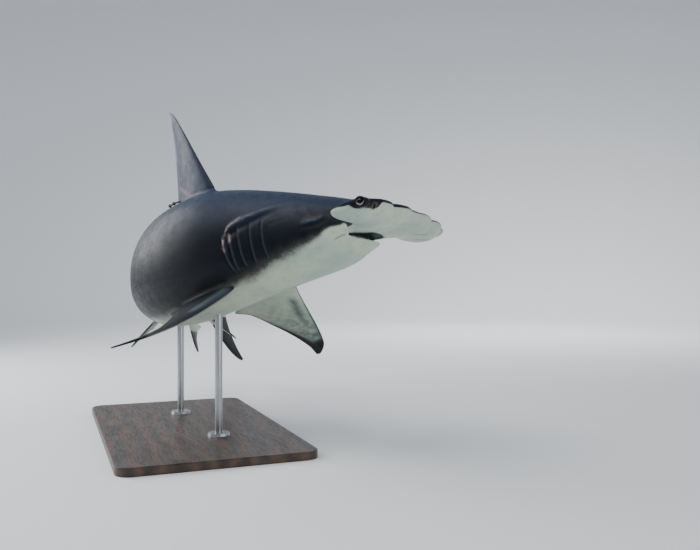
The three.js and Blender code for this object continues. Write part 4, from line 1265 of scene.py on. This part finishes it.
def eye_piece(name, side):
    ball = primitive(bpy.ops.mesh.primitive_uv_sphere_add, segments=64, ring_count=40, radius=EYE_RADIUS)
    ball.name = "eyeball_" + name
    co = places(ball)
    out = eye_out(side)
    co += np.outer(CORNEA_RISE * ramp(co @ out / EYE_RADIUS, 0.72, 1.0), out)
    add_measure(ball, "off", from_pupil(co, side))
    set_places(ball, bend(co + eye_centre(side)) + SHIFT)
    smooth(ball)
    finish_with(ball, wet_eye("eye_" + name + "_wet"))
    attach(ball, "root")
    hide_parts("eye_" + name)


for name, side in SIDES.items():
    eye_piece(name, side)


# Teeth: narrow hooked blades, one row in use and one lying behind it, along both jaws. The keys of the table
# are the ways that the teeth point, up from the lower jaw and down from the upper one.
UP, DOWN = 1, -1
TEETH = {
    DOWN: {
        "half": arch_half, "tip": MOUTH_FRONT + 0.0010, "inward": 0.0090, "count": 20,
        "height": 0.0055, "width": 0.0055,
    },
    UP: {
        "half": jaw_half, "tip": JAW_TIP + 0.0012, "inward": 0.0065, "count": 17,
        "height": 0.0125, "width": 0.0066,
    },
}
ROW_GAP = 0.005
ROOT_DEPTH = 0.0035


def tooth(height, width):
    blade = primitive(
        bpy.ops.mesh.primitive_cone_add, vertices=12, radius1=0.5, depth=1, end_fill_type="TRIFAN",
    )
    blade.name = "tooth"
    take(blade)
    bpy.ops.object.mode_set(mode="EDIT")
    bpy.ops.mesh.select_all(action="SELECT")
    bpy.ops.mesh.subdivide(number_cuts=3)
    bpy.ops.object.mode_set(mode="OBJECT")
    co = places(blade)
    up = co[:, 2] + 0.5
    co[:, 0] *= (1 + 0.55 * (1 - up) ** 3) * width
    co[:, 1] *= 0.42 * width
    co[:, 1] += 0.10 * width * up ** 2 - 0.16 * width * np.cos(np.pi * up)
    co[:, 0] += 0.18 * width * up ** 2
    co[:, 2] = up * height
    set_places(blade, co)
    return blade


def arch_station(half, tip, share):
    """Station at a share of the way along one side of an arch of teeth, from its front to its corner."""
    station = np.linspace(tip, MOUTH_CORNER - 0.004, 200)
    steps = np.hypot(np.diff(station), np.diff(half(station)))
    run = np.concatenate([[0], np.cumsum(steps)])
    return float(np.interp(share * run[-1], run, station))


def set_in_jaw(blade, upward, row, side, station, skew):
    """Leans a tooth into the mouth, turns it to the arch and sets it inside the lip."""
    jaw = TEETH[upward]
    half = jaw["half"]
    co = places(blade)
    co[:, 0] *= side
    slope = (half(station + 0.001) - half(station - 0.001)) / 0.002
    angle = side * (math.atan2(1, max(float(slope), 0.05)) - math.pi / 2) + skew
    angle += math.pi if side < 0 else 0
    lean = 0.25 + 0.9 * row
    y = co[:, 1] * math.cos(lean) - co[:, 2] * math.sin(lean)
    z = co[:, 2] * math.cos(lean)
    x, y = turned(co[:, 0], y, angle)
    across = side * max(float(half(station)) * LENGTH - (jaw["inward"] + ROW_GAP * row), 0.003)
    level = float(follow(MOUTH_LEVEL, station)) * LENGTH
    if upward == UP:
        level -= float(jaw_drop(station))
    base = level - upward * ROOT_DEPTH
    set_places(blade, np.stack([x - station * LENGTH, y + across, z * upward + base], 1))


def row_of_teeth(upward, row, draw):
    """One row along both sides of a jaw: row 0 stands, row 1 lies behind it."""
    jaw = TEETH[upward]
    made = []
    for side in (-1, 1):
        for i in range(jaw["count"]):
            along = (i + 0.5 + 0.15 * (draw.random() - 0.5)) / jaw["count"]
            height = jaw["height"] * (1 - 0.35 * along) * (0.75 + 0.4 * draw.random())
            if upward == UP:
                height *= 0.5 + 0.5 * float(ramp(along, 0.1, 0.55))
            blade = tooth(height * (1 - 0.35 * row), jaw["width"] * (1 - 0.2 * along))
            station = arch_station(jaw["half"], jaw["tip"], along)
            set_in_jaw(blade, upward, row, side, station, 0.5 * (draw.random() - 0.5))
            made.append(blade)
    return made


def tooth_enamel():
    made, tree, shader = material("tooth_enamel")
    stain = cloud(tree, object_place(tree), 260, 4, 0.6)
    colour = blend(tree, between(tree, stain, 0.4, 0.75), ink(190, 194, 186), ink(140, 142, 130))
    put(tree, colour, shader.inputs["Base Color"])
    put(tree, between(tree, stain, 0.3, 0.8, 0.16, 0.34), shader.inputs["Roughness"])
    raise_bump(tree, shader, stain, 0.15, 0.0004)
    return made


def teeth():
    draw = random.Random(12)
    blades = []
    for upward in (DOWN, UP):
        for row in (0, 1):
            blades += row_of_teeth(upward, row, draw)
    take(*blades)
    bpy.ops.object.join()
    piece = bpy.context.object
    piece.name = "shark_teeth"
    outward(piece)
    set_places(piece, bend(places(piece)) + SHIFT)
    smooth(piece)
    finish_with(piece, tooth_enamel())
    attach(piece, "root")


teeth()


# Tag: a dark strand with two beads and a pale end, lying on the back beside the first dorsal fin. Its
# spine_run is counted along the spine: on the outside of the bend the strand comes to 138 mm.
TAG = {"station": 0.301, "angle": 110, "spine_run": 0.120, "rise": 0.008}
STRAND_RADIUS = 0.0042
BEAD_SWELL = 0.0048


def tag_piece():
    rings = 90

    def place(angle, share):
        station = TAG["station"] + share * TAG["spine_run"] / LENGTH
        turn = np.full(len(share), math.radians(TAG["angle"]))
        radius = STRAND_RADIUS + BEAD_SWELL * (bump(share - 0.45, 0.055) + bump(share - 0.88, 0.06))
        radius *= 1 + 0.10 * np.sin(share * 150) * (share < 0.4)
        radius *= np.sqrt(np.clip(1 - ((share - 0.5) / 0.5) ** 10, 0, 1))
        middle = body_skin(station, turn, STRAND_RADIUS + TAG["rise"] * share)
        middle[:, 1] -= 0.004 * np.sin(share * 5)
        across = np.stack([0 * angle, np.cos(angle), np.sin(angle)], 1) * radius[:, None]
        return bend(middle + across) + SHIFT
    piece = shell("tag_strand", 20, rings, place)
    smooth(piece)
    return piece


def tag_braid():
    """Dark weedy braid with a pale end."""
    made, tree, shader = material("tag_braid")
    weed = cloud(tree, object_place(tree), 300, 4, 0.6)
    along = measure(tree, "along")
    weave = calc(tree, "SINE", times(tree, along, 240))
    colour = blend(tree, between(tree, weed, 0.4, 0.7), ink(16, 18, 20), ink(54, 58, 54))
    colour = blend(tree, between(tree, along, 0.93, 0.97), colour, ink(196, 200, 192))
    put(tree, colour, shader.inputs["Base Color"])
    put(tree, between(tree, weed, 0.3, 0.8, 0.45, 0.8), shader.inputs["Roughness"])
    raise_bump(tree, shader, plus(tree, weave, weed), 0.4, 0.0004)
    return made


tag = tag_piece()
straight_tag = straighten(places(tag) - SHIFT, TAG["station"])
add_measure(tag, "along", (-straight_tag[:, 0] / LENGTH - TAG["station"]) / (TAG["spine_run"] / LENGTH))
finish_with(tag, tag_braid())
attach(tag, "root")
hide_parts("dorsal_tag")


# Stand: oiled walnut plate and brushed steel rods.
def wear_group():
    """Fine scratches and dust over a hard surface."""
    group = bpy.data.node_groups.new("handling_marks", "ShaderNodeTree")
    group.interface.new_socket("Place", in_out="INPUT", socket_type="NodeSocketVector")
    group.interface.new_socket("Fineness", in_out="INPUT", socket_type="NodeSocketFloat")
    group.interface.new_socket("Scratches", in_out="OUTPUT", socket_type="NodeSocketFloat")
    group.interface.new_socket("Dust", in_out="OUTPUT", socket_type="NodeSocketFloat")
    entry, leave = group.nodes.new("NodeGroupInput"), group.nodes.new("NodeGroupOutput")
    noise = group.nodes.new("ShaderNodeTexNoise")
    group.links.new(entry.outputs["Place"], noise.inputs["Vector"])
    group.links.new(entry.outputs["Fineness"], noise.inputs["Scale"])
    noise.inputs["Detail"].default_value = 6
    put(group, between(group, noise.outputs["Fac"], 0.56, 0.72), leave.inputs["Scratches"])
    drift = cloud(group, entry.outputs["Place"], 6, 4, 0.6)
    put(group, between(group, drift, 0.42, 0.8), leave.inputs["Dust"])
    return group


handling = wear_group()


def marks(tree, place, fineness):
    step = tree.nodes.new("ShaderNodeGroup")
    step.node_tree = handling
    put(tree, place, step.inputs["Place"])
    step.inputs["Fineness"].default_value = fineness
    return step.outputs["Scratches"], step.outputs["Dust"]


def walnut():
    made, tree, shader = material("oiled_walnut")
    place = object_place(tree)
    rings = cloud(tree, place, 9, 5, 0.6, (0.35, 3.2, 3.2))
    wave = tree.nodes.new("ShaderNodeTexWave")
    wave.wave_type, wave.bands_direction = "BANDS", "Y"
    put(tree, place, wave.inputs["Vector"])
    for key, value in (("Scale", 3.4), ("Distortion", 7.0), ("Detail", 4.0), ("Detail Scale", 0.9)):
        wave.inputs[key].default_value = value
    pores = cloud(tree, place, 260, 3, 0.6, (0.06, 1, 1))
    scratches, dust = marks(tree, place, 60)
    colour = blend(tree, wave.outputs["Fac"], ink(44, 29, 21), ink(84, 58, 41))
    colour = blend(tree, between(tree, rings, 0.35, 0.7, 0, 0.55), colour, ink(30, 20, 15))
    colour = blend(tree, between(tree, pores, 0.55, 0.75, 0, 0.6), colour, ink(20, 13, 10))
    colour = blend(tree, times(tree, dust, 0.10), colour, ink(150, 146, 140))
    put(tree, colour, shader.inputs["Base Color"])
    rough = plus(tree, between(tree, pores, 0.3, 0.8, 0.30, 0.50), times(tree, scratches, 0.12))
    put(tree, rough, shader.inputs["Roughness"])
    raise_bump(tree, shader, pores, 0.25, 0.0006)
    return made


def steel():
    made, tree, shader = material("brushed_steel")
    place = object_place(tree)
    brushed = cloud(tree, place, 500, 3, 0.6, (1, 1, 0.02))
    scratches, dust = marks(tree, place, 90)
    colour = blend(tree, between(tree, brushed, 0.3, 0.7), ink(150, 153, 157), ink(186, 188, 191))
    colour = blend(tree, times(tree, dust, 0.12), colour, ink(120, 122, 124))
    put(tree, colour, shader.inputs["Base Color"])
    shader.inputs["Metallic"].default_value = 1.0
    rough = plus(tree, between(tree, brushed, 0.3, 0.75, 0.24, 0.38), times(tree, scratches, 0.10))
    put(tree, rough, shader.inputs["Roughness"])
    raise_bump(tree, shader, brushed, 0.10, 0.0003)
    return made


for name, made in (("stand_base", walnut()), ("stand_rod_front", steel()), ("stand_rod_rear", steel())):
    finish_with(bpy.data.objects[name], made)


# Pale floor, soft light and a bluish sky.
FLOOR_SIZE = 44
FLOOR_LEVEL_TO = 9
FLOOR_CURVE = 0.12


def studio():
    """A floor that is level round the stand and sweeps up far away."""
    floor = primitive(bpy.ops.mesh.primitive_grid_add, x_subdivisions=80, y_subdivisions=80, size=FLOOR_SIZE)
    floor.name = "studio_floor"
    co = places(floor)
    far = np.hypot(co[:, 0], co[:, 1])
    co[:, 2] = np.maximum(far - FLOOR_LEVEL_TO, 0) ** 2 * FLOOR_CURVE
    set_places(floor, co)
    smooth(floor)
    made, _, shader = material("studio_paper")
    shader.inputs["Base Color"].default_value = (0.86, 0.865, 0.87, 1)
    shader.inputs["Roughness"].default_value = 0.9
    floor.data.materials.append(made)


def soft_light(name, place, aim, size, power):
    bpy.ops.object.light_add(type="AREA", location=place)
    lamp = bpy.context.object
    lamp.name = name
    lamp.data.size = size
    lamp.data.energy = power
    lamp.rotation_euler = (Vector(aim) - Vector(place)).to_track_quat("-Z", "Y").to_euler()


studio()
world = bpy.data.worlds.new("studio_air")
bpy.context.scene.world = world
world.use_nodes = True
background = world.node_tree.nodes["Background"]
background.inputs["Color"].default_value = (0.80, 0.88, 1.0, 1)
background.inputs["Strength"].default_value = 0.55
soft_light("key", (1.6, -2.0, 4.8), (0.6, 0.0, 0.9), 3.5, 150)
soft_light("fill", (4.6, 2.6, 0.7), (0.9, 0.2, 0.9), 2.4, 55)
soft_light("rim", (-2.6, -3.4, 2.6), (0.3, -0.1, 1.0), 3.2, 190)
soft_light("wash", (-4.0, 5.0, 5.0), (-7.0, 5.0, 1.5), 4.0, 420)
